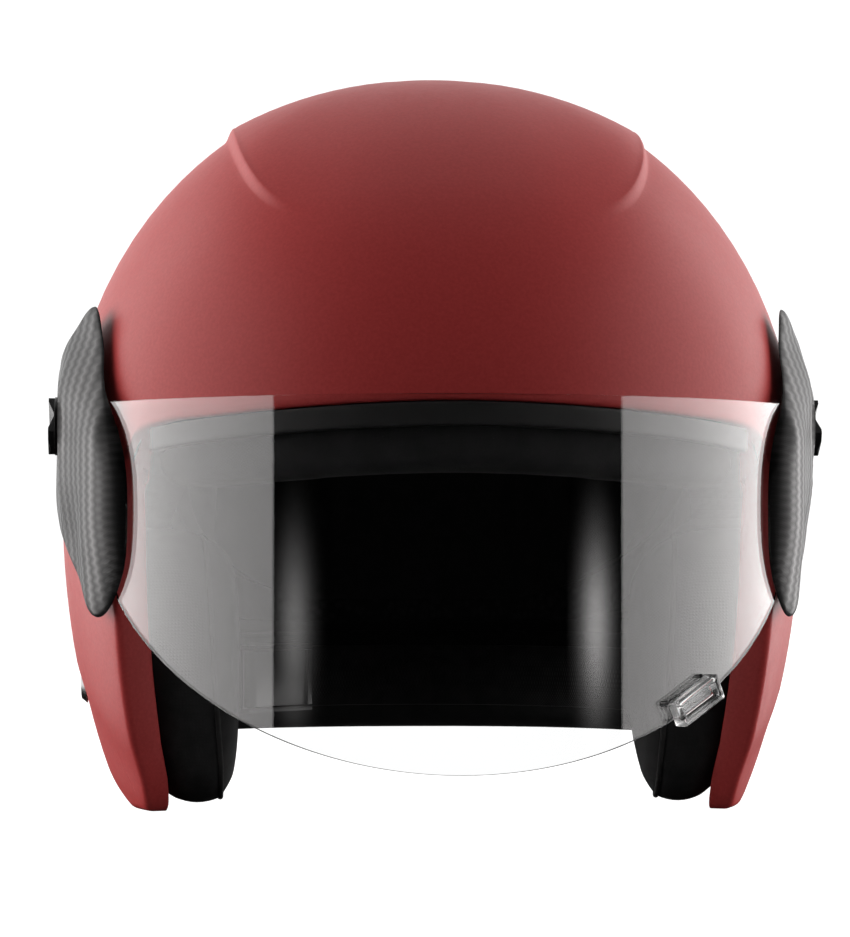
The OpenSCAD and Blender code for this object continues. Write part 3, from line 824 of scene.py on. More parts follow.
@dataclass
class Lining:
    """Soft pieces inside the shell: crown pad, brow trim and pad, neck roll, cheek pads."""

    form: Form
    shell: Shell
    pad_in: float = 37.3
    pad_out: float = 45.8
    pad_seams: Point = (34.0, 52.0, -48.0)
    pad_quilt: float = 3.2
    shrink: float = 0.7
    trim_half: Pair = (2.5, 3.75)
    trim_gap: Pair = (0.6, 0.3)
    trim_turn: float = 45.0
    brow_half: Pair = (11.5, 12.0)
    brow_gap: float = 6.15
    brow_lift: float = 1.5
    brow_turn: float = 51.0
    neck_half: Pair = (13.75, 19.0)
    neck_gap: float = 7.85
    neck_low: float = 20.0
    neck_turn: float = 70.0
    cheek_x: float = 66.0
    cheek_gap: Pair = (6.5, 16.0)
    cheek_mid: Pair = (-30.0, 46.0)
    pipe_r: float = 0.9
    pipe_lift: float = 0.15

    def section(
        self, az: float, z: float, t: float, half: Pair, power: float, n: int = 32
    ) -> Ring:
        """Rounded section of a band at an azimuth.

        Args:
            az: Azimuth of the section.
            z: Height of its middle.
            t: Depth of its middle under the skin.
            half: Half thickness and half height.
            power: Squareness; smaller is squarer.
            n: Points round the section.

        Returns:
            The closed ring.
        """
        out = []
        for i in range(n + 1):
            a = 2 * math.pi * (i % n) / n
            r = self.form.radius(az, z, t) + half[0] * signed_power(math.cos(a), power)
            out.append((r * sind(az), -r * cosd(az), z + half[1] * signed_power(math.sin(a), power)))
        return out

    def trim(self) -> Piece:
        """Models the strip under the brow edge.

        Returns:
            The trim.
        """
        rings, half, (inset, drop) = [], self.trim_half, self.trim_gap
        for i in range(81):
            az = (i / 40 - 1) * self.trim_turn
            z = self.shell.brow_edge(az) - drop - half[1]
            rings.append(self.section(az, z, inset + half[0], half, 0.35, 28))
        obj = loft("brow_trim_smooth", capped(rings))
        smooth(obj, 50)
        return obj

    def brow_pad(self) -> Piece:
        """Models the padded band behind the trim.

        Returns:
            The pad.
        """
        rings, (thick, high) = [], self.brow_half
        for i in range(73):
            k = i / 36 - 1
            az = k * self.brow_turn
            f = 0.25 + 0.75 * (1 - abs(k) ** 7) ** 0.5
            z = self.shell.brow_edge(az) - high + self.brow_lift
            half = (f * thick - self.shrink, f * high - self.shrink)
            rings.append(self.section(az, z, self.brow_gap + thick, half, 0.55))
        return loft("brow_pad_soft", capped(rings))

    def neck_roll(self) -> Piece:
        """Models the padded roll round the nape.

        Returns:
            The roll.
        """
        rings, (thick, high) = [], self.neck_half
        z = self.neck_low + high - self.shrink
        for i in range(73):
            k = i / 36 - 1
            f = 0.3 + 0.7 * (1 - abs(k) ** 8) ** 0.5
            half = (f * thick - self.shrink, (0.6 + 0.4 * f) * high - self.shrink)
            rings.append(self.section(180 + k * self.neck_turn, z, self.neck_gap + thick, half, 0.6))
        return loft("neck_roll_soft", capped(rings))

    def crown_pad(self) -> Piece:
        """Models the quilted crown pad with sewn channels.

        Returns:
            The pad.
        """
        z, rear = self.shell.brow_z, self.shell.rear_rim_z
        path = [
            [0, z + 10], [45, z + 3], [65, z - 9], [90, z - 23],
            [120, 90], [150, rear + 52], [180, rear + 49],
        ]
        cols, rows = 60, 26
        side, behind, ahead = self.pad_seams

        def ring(f: float, t: float, quilt: float) -> Ring:
            """Ring of the pad.

            Args:
                f: Share of the way down.
                t: Depth under the skin.
                quilt: Depth of the sewn channels.

            Returns:
                The closed ring.
            """
            out = []
            for j in range(2 * cols + 1):
                half, sign = (j, 1) if j <= cols else (2 * cols - j, -1)
                q = open_spline(path, half / cols * (len(path) - 1))
                az = mix(180 * half / cols, q[0], f)
                tilt = f * self.form.tilt(q[0], q[1], t)
                p = self.form.spot(sign * az, tilt, t)
                seam = min(abs(abs(p[0]) - side), abs(p[1] - behind), abs(p[1] - ahead))
                groove = quilt * math.exp(-((seam / 4.0) ** 2)) + 0.8 * quilt * ease((f - 0.9) / 0.1)
                out.append(tuple(self.form.spot(sign * az, tilt, t - groove)))
            return out

        shares = [i / rows for i in range(rows + 1)]
        rings = [ring(f, self.pad_in, 0) for f in shares]
        rings += [ring(f, self.pad_out, self.pad_quilt) for f in reversed(shares)]
        obj = loft("crown_pad_soft", rings)
        smooth(obj, 60)
        return obj

    def cheek_ring(self, s: float, inside: bool, cols: int = 112) -> Ring:
        """Ring of the cheek pad at a share of its outline.

        Args:
            s: Share from the middle (0) to the outline (1).
            inside: Whether the ring lies on the face towards the wearer.
            cols: Points round the ring.

        Returns:
            The closed ring.
        """
        path = [
            [-4, 40], [1, 66], [-3, 85], [-22, 91], [-43, 94], [-57, 88], [-63, 66], [-61, 36],
            [-57, 12], [-49, 2.4], [-40, 0.8], [-24, 6], [-12, 13], [-7, 24],
        ]
        middle, (gap, rim_gap), out = np.array(self.cheek_mid), self.cheek_gap, []
        for j in range(cols + 1):
            q = mix(middle, loop_spline(path, (j % cols) * len(path) / cols), s)
            rim = self.form.side_x(q[0], q[1], rim_gap)
            back = self.form.side_x(q[0], q[1], gap + self.shrink)
            face = mix(rim, self.cheek_x + self.shrink, (1 - s**9) ** 0.5)
            out.append((face if inside else mix(rim, back, 1 - s**6), q[0], q[1]))
        return out

    def cheek_pad(self) -> Piece:
        """Models the left cheek pad.

        Returns:
            The pad.
        """
        top = 1 - self.shrink / 45
        rear = [0, 0.18, 0.35, 0.5, 0.65, 0.76, 0.85, 0.92, 0.965, 0.99, 1]
        face = [0.997, 0.988, 0.965, 0.92, 0.85, 0.75, 0.62, 0.45, 0.25, 0]
        rings = [self.cheek_ring(s * top, False) for s in rear]
        rings += [self.cheek_ring(s * top, True) for s in face]
        return loft("left_cheek_soft", rings)

    @staticmethod
    def swell(obj: Piece, cell: float, cap: float, pressure: float = 4.0) -> None:
        """Swells a closed pad with a short cloth run; no point moves further than a cap.

        Args:
            obj: The pad.
            cell: Size of the pad's mesh in millimetres.
            cap: Greatest move of a point in millimetres.
            pressure: Pressure inside the pad.
        """
        modify(obj, "REMESH", mode="VOXEL", voxel_size=cell * MM)
        scene = bpy.context.scene
        count = len(obj.data.vertices)
        rest = np.empty(count * 3)
        obj.data.vertices.foreach_get("co", rest)
        pick(obj)
        bpy.ops.object.modifier_add(type="CLOTH")
        cloth = obj.modifiers[-1]
        cloth.settings.quality = 5
        cloth.settings.use_pressure = True
        cloth.settings.uniform_pressure_force = pressure
        cloth.settings.effector_weights.gravity = 0
        cloth.point_cache.frame_start = 1
        cloth.point_cache.frame_end = 20
        for step in range(1, 21):
            scene.frame_set(step)
        held = obj.evaluated_get(bpy.context.evaluated_depsgraph_get())
        moved = np.empty(count * 3)
        held.data.vertices.foreach_get("co", moved)
        bpy.ops.object.modifier_remove(modifier=cloth.name)
        scene.frame_set(1)
        way = (moved - rest).reshape(-1, 3)
        length = np.linalg.norm(way, axis=1, keepdims=True)
        way *= np.minimum(1, cap * MM / np.maximum(length, 1e-9))
        obj.data.vertices.foreach_set("co", rest + way.ravel())
        obj.data.update()
        modify(obj, "SMOOTH", factor=0.5, iterations=4)
        modify(obj, "SUBSURF", levels=1, render_levels=1)
        smooth(obj, 80)

    def piping(self, pad: Piece, s: float, name: str) -> Piece:
        """Lays a sewn piping on the cheek pad's face.

        Args:
            pad: The finished pad.
            s: Share of the outline at which it is sewn.
            name: Name of the piping.

        Returns:
            The piping.
        """
        path = []
        for p in self.cheek_ring(s, True)[:-1]:
            _, spot, normal, _ = pad.closest_point_on_mesh(Vector(p) * MM)
            path.append(np.array(spot) / MM + self.pipe_lift * np.array(normal))
        n, rings = len(path), []
        for i in range(n + 1):
            a, b, c = path[(i - 1) % n], path[i % n], path[(i + 1) % n]
            way = (c - a) / np.linalg.norm(c - a)
            side = np.cross(way, (1.0, 0.0, 0.0))
            side /= np.linalg.norm(side)
            up = np.cross(side, way)
            turn = [2 * math.pi * (k % 10) / 10 for k in range(11)]
            round_b = [math.cos(t) * side + math.sin(t) * up for t in turn]
            rings.append([tuple(b + self.pipe_r * out) for out in round_b])
        obj = loft(name, rings)
        smooth(obj, 80)
        return obj


@dataclass
class Visor:
    """Clear visor sheet with its arms, pivot eyes and lift tab."""

    half_w: float = 126.8
    front: float = 148.0
    wall: float = 1.8
    top_z: float = 133.0
    low_z: float = 17.0
    turn_z: float = 98.0
    curve_half_w: float = 112.02
    arm_x: float = 122.371
    pivot: Pair = (-28.0, 127.0)
    eye_r: float = 15.0
    hub_r: float = 8.06
    arm_y: Pair = (-80.0, -48.0)
    arm_low: Pair = (116.0, 118.0)
    arm_neck: float = 14.87
    tab_x: float = 74.0
    tab_size: Point = (20.0, 4.9, 8.5)
    tab_bite: Pair = (0.4, 2.5)
    tab_frame: float = 1.9
    tab_well: float = 3.2
    rows: int = 30

    def low_edge(self, x: float) -> float:
        """Height of the lower edge of the front sheet."""
        share = math.sqrt(max(0, 1 - (x / self.curve_half_w) ** 2))
        return self.turn_z - (self.turn_z - self.low_z) * share

    def span(self, x: float, y: float) -> Pair:
        """Lower and upper edge of the sheet at a place of its plan.

        Args:
            x: Sideways place.
            y: Place from front to rear.

        Returns:
            The two heights.
        """
        py, pz = self.pivot
        eye = math.sqrt(max(0, self.eye_r**2 - (y - py) ** 2))
        if y > py - 2:
            return pz - eye, pz + eye
        start, neck = self.arm_y[0], self.arm_neck
        low = float(np.interp(y, [*self.arm_y, py - 2], [*self.arm_low, pz - neck]))
        high = float(np.interp(y, [start, py - 2], [self.top_z, pz + neck]))
        return mix(self.low_edge(x), low, ease((y - start + 4) / 9)), high

    def plan(self) -> list[Pair]:
        """Plan of the sheet's middle from eye to eye.

        Returns:
            Points of the plan.
        """
        half = self.wall / 2
        a, b, limit = self.half_w + half, self.front + half, self.arm_x + half
        end = math.asin(limit / a)
        bow = [(a * math.sin(q), -b * math.cos(q)) for q in np.linspace(-end, end, 161)]
        back = self.pivot[0] + self.eye_r
        arm = [(limit, y) for y in np.linspace(bow[-1][1], back, 24)[1:]]
        return [(-x, y) for x, y in reversed(arm)] + bow + arm

    def sheet(self) -> Piece:
        """Models the sheet and cuts the pivot eyes.

        Returns:
            The sheet.
        """
        plan = self.plan()
        edges = [self.span(x, y) for x, y in plan]
        rings = []
        for i in range(self.rows + 1):
            k = i / self.rows
            rings.append([(x, y, mix(low, high, k)) for (x, y), (low, high) in zip(plan, edges)])
        obj = loft("visor_sheet", rings)
        modify(obj, "SOLIDIFY", thickness=self.wall * MM, offset=0.0, use_even_offset=True)
        round_edges(obj, 0.45, 2, 50)
        for sign in (1, -1):
            drill(obj, (sign * (self.arm_x + 1), *self.pivot), (1, 0, 0), self.hub_r, 30)
        smooth(obj, 18)
        return obj

    def lift_tab(self) -> Piece:
        """Models the framed lift tab from a cube and sets it on the lower edge.

        Returns:
            The tab.
        """
        length, out, high = self.tab_size
        sink, drop = self.tab_bite
        deselect()
        bpy.ops.mesh.primitive_cube_add(size=1)
        obj = bpy.context.object
        obj.name = obj.data.name = "visor_lift_tab"
        with editing(obj):
            size = (length * MM, out * MM, high * MM)
            bpy.ops.transform.resize(value=size, center_override=(0, 0, 0))
            bpy.ops.transform.translate(value=(0, (sink - out / 2) * MM, (high / 2 - drop) * MM))
            bpy.ops.mesh.select_all(action="DESELECT")
        for face in obj.data.polygons:
            face.select = face.normal.y < -0.9
        bpy.ops.object.mode_set(mode="EDIT")
        bpy.ops.mesh.select_mode(type="FACE")
        bpy.ops.mesh.inset(thickness=self.tab_frame * MM)
        bpy.ops.mesh.extrude_region_move(TRANSFORM_OT_translate={"value": (0, self.tab_well * MM, 0)})
        bpy.ops.object.mode_set(mode="OBJECT")
        round_edges(obj, 0.7, 3, 40)
        a, b = self.half_w + self.wall, self.front + self.wall
        y = -b * math.sqrt(1 - (self.tab_x / a) ** 2)
        az = math.atan2(self.tab_x / a**2, -y / b**2)
        share = self.tab_x / self.curve_half_w
        slope = (self.turn_z - self.low_z) * share / self.curve_half_w / math.sqrt(1 - share**2)
        slope *= math.cos(az)
        turn = Matrix.Rotation(az, 4, "Z") @ Matrix.Rotation(-math.atan(slope), 4, "Y")
        at = Vector((self.tab_x, y, self.low_edge(self.tab_x))) * MM
        obj.data.transform(Matrix.Translation(at) @ turn)
        smooth(obj, 40)
        return obj


@dataclass
class SideCover:
    """Side cover that carries the visor: a thin skirt with a deep, rounded front wall."""

    form: Form
    visor: Visor
    wall: float = 1.5
    nose: float = 5.0
    flat_r: float = 16.0
    in_x: float = 124.571
    travel: float = 45.0
    clear: float = 0.65
    fade: float = 24.0
    drop: float = 6.0
    sheet_y: float = -75.0
    arm_z: Pair = (133.0, 142.0)
    stem_r: float = 3.4
    cols: int = 240

    def outline(self, u: float) -> np.ndarray:
        """Point of the outline in the side view.

        Args:
            u: Share of the way round, 0 to 1.

        Returns:
            The point.
        """
        path = [
            [18, 127], [12, 137], [-4, 146], [-22, 153], [-38, 161], [-47, 165.5], [-54, 163.5],
            [-63, 153], [-73.5, 140], [-84, 129], [-90.5, 114], [-92, 97], [-90.5, 80],
            [-84, 68.5], [-75, 64], [-62, 69], [-44, 81.5], [-20, 96], [4, 110], [14, 117],
        ]
        return loop_spline(path, u * len(path))

    def fades(self, d: float) -> float:
        """Soft step that is full a little before d falls below nothing."""
        return ease((d + 1 + self.fade) / self.fade)

    def under(self, y: float, z: float) -> float:
        """Underside of the cover: clear of the turning skin, the visor's sheet and its arm.

        Args:
            y: Place from front to rear.
            z: Height.

        Returns:
            Sideways place of the underside.
        """
        py, pz = self.visor.pivot
        if math.hypot(y - py, z - pz) < self.flat_r + 0.1:
            return self.in_x
        low = 0.0
        for i in range(6):
            c, s = cosd(self.travel * i / 5), sind(self.travel * i / 5)
            ty, tz = py + (y - py) * c + (z - pz) * s, pz + (z - pz) * c - (y - py) * s
            low = max(low, self.form.side_x(ty, tz, 0))
        low += self.clear
        v, eye = self.visor, self.visor.eye_r
        arm_top = mix(*self.arm_z, clamp((y - v.arm_y[0]) / 50))
        sheet = self.fades(self.sheet_y - y) * self.fades(v.top_z - self.drop - z)
        arm = self.fades(arm_top - self.drop - z) * self.fades(z - pz + eye) * self.fades(py + eye - y)
        a, b = v.half_w + v.wall, v.front + v.wall
        out = min(v.arm_x + v.wall, a * math.sqrt(max(0, 1 - (y / b) ** 2)))
        return max(low, mix(low, out + 0.4, max(sheet, arm)))

    def deep(self, y: float, z: float) -> float:
        """Thickness, growing towards the front wall."""
        return self.wall + self.nose * ease((-50 - y) / 40) * ease((140 - z) / 20) * ease((z - 58) / 40)

    def ring(self, s: float, lift: float) -> Ring:
        """Ring at a share of the outline.

        Args:
            s: Share from the pivot (0) to the outline (1).
            lift: 1 on the face, 0 on the underside.

        Returns:
            The closed ring.
        """
        middle, out = np.array(self.visor.pivot), []
        for j in range(self.cols + 1):
            d = self.outline((j % self.cols) / self.cols) - middle
            size = float(np.linalg.norm(d))
            r = self.flat_r * s / 0.3 if s < 0.3 else mix(self.flat_r, size, (s - 0.3) / 0.7)
            y, z = middle + d / size * r
            out.append((self.under(y, z) + lift * self.deep(y, z), y, z))
        return out

    def build(self) -> Piece:
        """Models the left cover and drills it for the knob's stem.

        Returns:
            The cover.
        """
        face = [0, 0.12, 0.2, 0.29, 0.31, 0.38, 0.45, 0.53, 0.62, 0.7, 0.78, 0.84, 0.89]
        rings = [self.ring(s, 1) for s in face]
        rim = ((0.925, 0.985), (0.95, 0.93), (0.97, 0.82), (0.985, 0.66), (0.996, 0.45), (1, 0.2))
        rings += [self.ring(s, lift) for s, lift in (*rim, (0.992, 0.02))]
        rings += [self.ring(s, 0) for s in (0.97, 0.9, 0.78, 0.62, 0.45, 0.31, 0.29, 0.15, 0)]
        obj = loft("left_cover_smooth", rings)
        drill(obj, (self.in_x, *self.visor.pivot), (1, 0, 0), self.stem_r, 30)
        smooth(obj, 40)
        return obj


@dataclass
class Straps:
    """Chin strap webbing, buckled and laid back along the neck roll."""

    form: Form
    z: float = 40.0
    width: float = 22.0
    wall: float = 1.6
    rivet_az: float = 94.0
    rivet_r: float = 2.7
    tail: float = 3.3
    shell_wall: float = 4.0
    spacer_gap: float = 2.2
    spacer_wall: float = 2.4
    roll_in: float = 35.35
    roll_clear: float = 0.4
    buckle_az: float = -142.0
    steps: int = 90

    def radius(self, az: float) -> float:
        """Distance of the webbing's middle from the axis.

        Args:
            az: Azimuth from the front.

        Returns:
            The distance in millimetres.
        """
        start = self.form.radius(self.rivet_az, self.z, 0) - self.shell_wall
        start = start - self.spacer_gap - self.spacer_wall - self.wall / 2
        back = self.form.radius(az, self.z, self.roll_in + self.roll_clear + self.wall / 2)
        return mix(start, back, ease((abs(az) - self.rivet_az - 3) / 16))

    def spot(self, az: float) -> np.ndarray:
        """Middle of the webbing at an azimuth, in plan."""
        return self.radius(az) * np.array([sind(az), -cosd(az)])

    def webbing(self, name: str, start: float, end: float) -> Piece:
        """Models a length of webbing with rounded selvedges and its own UV map in metres.

        Args:
            name: Name of the strap.
            start: Azimuth of the sewn end.
            end: Azimuth of the buckle's end.

        Returns:
            The strap.
        """
        rings, n = [], 28
        for i in range(self.steps + 1):
            az = mix(start, end, i / self.steps)
            p, way = self.spot(az), self.spot(az + 0.5) - self.spot(az - 0.5)
            side = np.array([way[1], -way[0]]) / np.linalg.norm(way)
            ring = []
            for k in range(n + 1):
                a = 2 * math.pi * (k % n) / n
                off = self.wall / 2 * signed_power(math.sin(a), 0.35)
                up = self.width / 2 * signed_power(math.cos(a), 0.75)
                ring.append((*(p + side * off), self.z + up))
            rings.append(ring)
        obj = loft(name, capped(rings))
        run = math.radians(abs(end - start)) * self.radius(self.buckle_az)
        layer = obj.data.uv_layers.active.data
        uv = np.empty(len(layer) * 2)
        layer.foreach_get("uv", uv)
        uv = uv.reshape(-1, 2) * np.array([2 * self.width * MM, run * MM])
        layer.foreach_set("uv", uv.ravel())
        out = (sind(self.rivet_az) * math.copysign(1, start), -cosd(self.rivet_az), 0)
        drill(obj, (out[0] * 110, out[1] * 110, self.z), out, self.rivet_r, 40)
        smooth(obj, 50)
        return obj


@dataclass(frozen=True)
class Paint:
    """Satin paint with a fine grain."""

    name: str
    deep: Colour
    bright: Colour
    rough: float = 0.46

    def make(self) -> Look:
        """Builds the material.

        Returns:
            The material.
        """
        c = Craft(self.name)
        c.set(Specular_IOR_Level=0.28, IOR=1.5)
        c.colour(c.ramp(c.noise(900, 3, 0.6), (0.35, self.deep), (0.68, self.bright)))
        c.roughness(c.spread(c.noise(240, 4, 0.6), self.rough - 0.05, self.rough + 0.06))
        c.bump(c.noise(2600, 2), 0.03, 0.35)
        return c.material


@dataclass(frozen=True)
class Weave:
    """Clear-coated fibre weave in wavy columns."""

    name: str = "cover_weave"
    pitch: float = 7.0
    wave_high: float = 2.9
    wave_deep: float = 1.5

    def make(self) -> Look:
        """Builds the material.

        Returns:
            The material.
        """
        c = Craft(self.name)
        c.set(IOR=1.5, Coat_Weight=0.03, Coat_Roughness=0.2, Specular_IOR_Level=0.18)
        y, z = c.axis("Y"), c.axis("Z")
        zig = c.math("PINGPONG", z, self.wave_high * MM / 2)
        run = c.math("MULTIPLY_ADD", zig, 2 * self.wave_deep / self.wave_high, y)
        column = c.math("FRACT", c.math("DIVIDE", run, self.pitch * MM))
        ridge = c.math("PINGPONG", column, 0.5)
        threads = c.math("FRACT", c.math("DIVIDE", c.math("MULTIPLY_ADD", y, 0.5, z), 0.72 * MM))
        fibre = c.math("PINGPONG", threads, 0.5)
        shade = c.math("MULTIPLY_ADD", fibre, 0.2, c.math("MULTIPLY", ridge, 1.6))
        mid, light = (0.008, 0.0078, 0.0078), (0.036, 0.035, 0.035)
        c.colour(c.ramp(shade, (0.12, grey(0.0015)), (0.4, mid), (0.9, light)))
        c.roughness(c.spread(ridge, 0.5, 0.3, 0.0, 0.5))
        c.bump(c.math("MULTIPLY_ADD", fibre, 0.1, ridge), 0.5, 0.5)
        return c.material


@dataclass(frozen=True)
class Fabric:
    """Knitted or woven lining cloth with fine loops and soft wear."""

    name: str
    dark: Colour = (0.009, 0.009, 0.0095)
    light: Colour = (0.021, 0.021, 0.0215)
    loop: float = 1.1
    rough: float = 0.75

    def make(self) -> Look:
        """Builds the material.

        Returns:
            The material.
        """
        c = Craft(self.name)
        c.set(Sheen_Weight=0.04, Sheen_Roughness=0.4, Specular_IOR_Level=0.3)
        turns = 2 * math.pi / (self.loop * MM)
        wave = [c.math("SINE", c.math("MULTIPLY", c.axis(a), turns)) for a in "XYZ"]
        knit = c.math("ADD", c.math("MULTIPLY", wave[0], wave[1]), c.math("MULTIPLY", wave[1], wave[2]))
        knit = c.math("ADD", knit, c.math("MULTIPLY", wave[0], wave[2]))
        tone = c.math("MULTIPLY_ADD", knit, 0.03, c.noise(130, 4, 0.65))
        c.colour(c.ramp(tone, (0.3, self.dark), (0.75, self.light)))
        c.roughness(c.spread(c.noise(60, 3), self.rough - 0.07, self.rough + 0.07))
        c.bump(knit, 0.04, 0.2)
        return c.material


@dataclass(frozen=True)
class Foam:
    """Moulded bead foam."""

    name: str = "liner_foam"
    cells: float = 330.0

    def make(self) -> Look:
        """Builds the material.

        Returns:
            The material.
        """
        c = Craft(self.name)
        c.set(Specular_IOR_Level=0.2)
        cells = c.add("ShaderNodeTexVoronoi")
        c.feed(cells.inputs["Vector"], c.object_coords())
        cells.inputs["Scale"].default_value = self.cells
        beads = cells.outputs["Distance"]
        c.colour(c.ramp(beads, (0.1, (0.03, 0.03, 0.032)), (0.65, (0.012, 0.012, 0.013))))
        c.roughness(c.spread(c.noise(150), 0.8, 0.95))
        c.bump(c.math("SUBTRACT", 1.0, beads), 0.3, 0.5)
        return c.material


@dataclass(frozen=True)
class Plastic:
    """Moulded plastic or rubber with a fine grain."""

    name: str
    dark: Colour
    light: Colour
    rough: float = 0.42
    grain: float = 1500

    def make(self) -> Look:
        """Builds the material.

        Returns:
            The material.
        """
        c = Craft(self.name)
        c.set(Specular_IOR_Level=0.5, IOR=1.5)
        c.colour(c.ramp(c.noise(220, 4, 0.6), (0.3, self.dark), (0.75, self.light)))
        c.roughness(c.spread(c.noise(90, 3), self.rough - 0.06, self.rough + 0.07))
        c.bump(c.noise(self.grain, 2), 0.05, 0.4)
        return c.material


@dataclass(frozen=True)
class Clear:
    """Clear visor sheet with a trace of handling haze."""

    name: str = "visor_clear"
    haze: float = 0.0

    def make(self) -> Look:
        """Builds the material.

        Returns:
            The material.
        """
        c = Craft(self.name)
        c.set(Base_Color=(0.985, 0.99, 0.99, 1), Transmission_Weight=1.0)
        c.set(IOR=1.5, Specular_IOR_Level=0.5)
        c.roughness(c.spread(c.noise(30, 4, 0.6), self.haze, self.haze + 0.012, 0.35, 0.75))
        c.bump(c.noise(14, 1), 0.05, 0.05)
        return c.material


@dataclass(frozen=True)
class Steel:
    """Brushed or turned steel with fine wear."""

    name: str
    tone: float = 0.55
    rough: float = 0.32

    def make(self) -> Look:
        """Builds the material.

        Returns:
            The material.
        """
        c = Craft(self.name)
        c.set(Metallic=1.0)
        stretch = c.add("ShaderNodeMapping")
        stretch.inputs["Scale"].default_value = (1.0, 1.0, 14.0)
        c.feed(stretch.inputs["Vector"], c.object_coords())
        brush = c.noise(420, 4, 0.6, stretch.outputs["Vector"])
        low, high = self.tone * 0.8, self.tone * 1.1
        c.colour(c.ramp(brush, (0.25, grey(low)), (0.75, (high, high, high * 1.01))))
        c.roughness(c.spread(brush, self.rough - 0.08, self.rough + 0.1))
        c.bump(brush, 0.02, 0.4)
        return c.material


@dataclass(frozen=True)
class Webbing:
    """Ribbed webbing on the strap's own UV map in metres."""

    name: str = "webbing"
    rib: float = 1.5
    pick: float = 1.1

    def make(self) -> Look:
        """Builds the material.

        Returns:
            The material.
        """
        c = Craft(self.name)
        c.set(Sheen_Weight=0.2, Specular_IOR_Level=0.35)
        split = c.add("ShaderNodeSeparateXYZ")
        c.feed(split.inputs[0], c.add("ShaderNodeTexCoord").outputs["UV"])
        across = c.math("SINE", c.math("MULTIPLY", split.outputs["X"], 2 * math.pi / (self.rib * MM)))
        along = c.math("SINE", c.math("MULTIPLY", split.outputs["Y"], 2 * math.pi / (self.pick * MM)))
        ribs = c.math("MULTIPLY", across, along)
        tone = c.math("MULTIPLY_ADD", ribs, 0.15, c.noise(180, 3))
        c.colour(c.ramp(tone, (0.3, grey(0.006)), (0.75, (0.022, 0.022, 0.023))))
        c.roughness(c.spread(c.noise(70), 0.7, 0.85))
        c.bump(ribs, 0.18, 0.6)
        return c.material


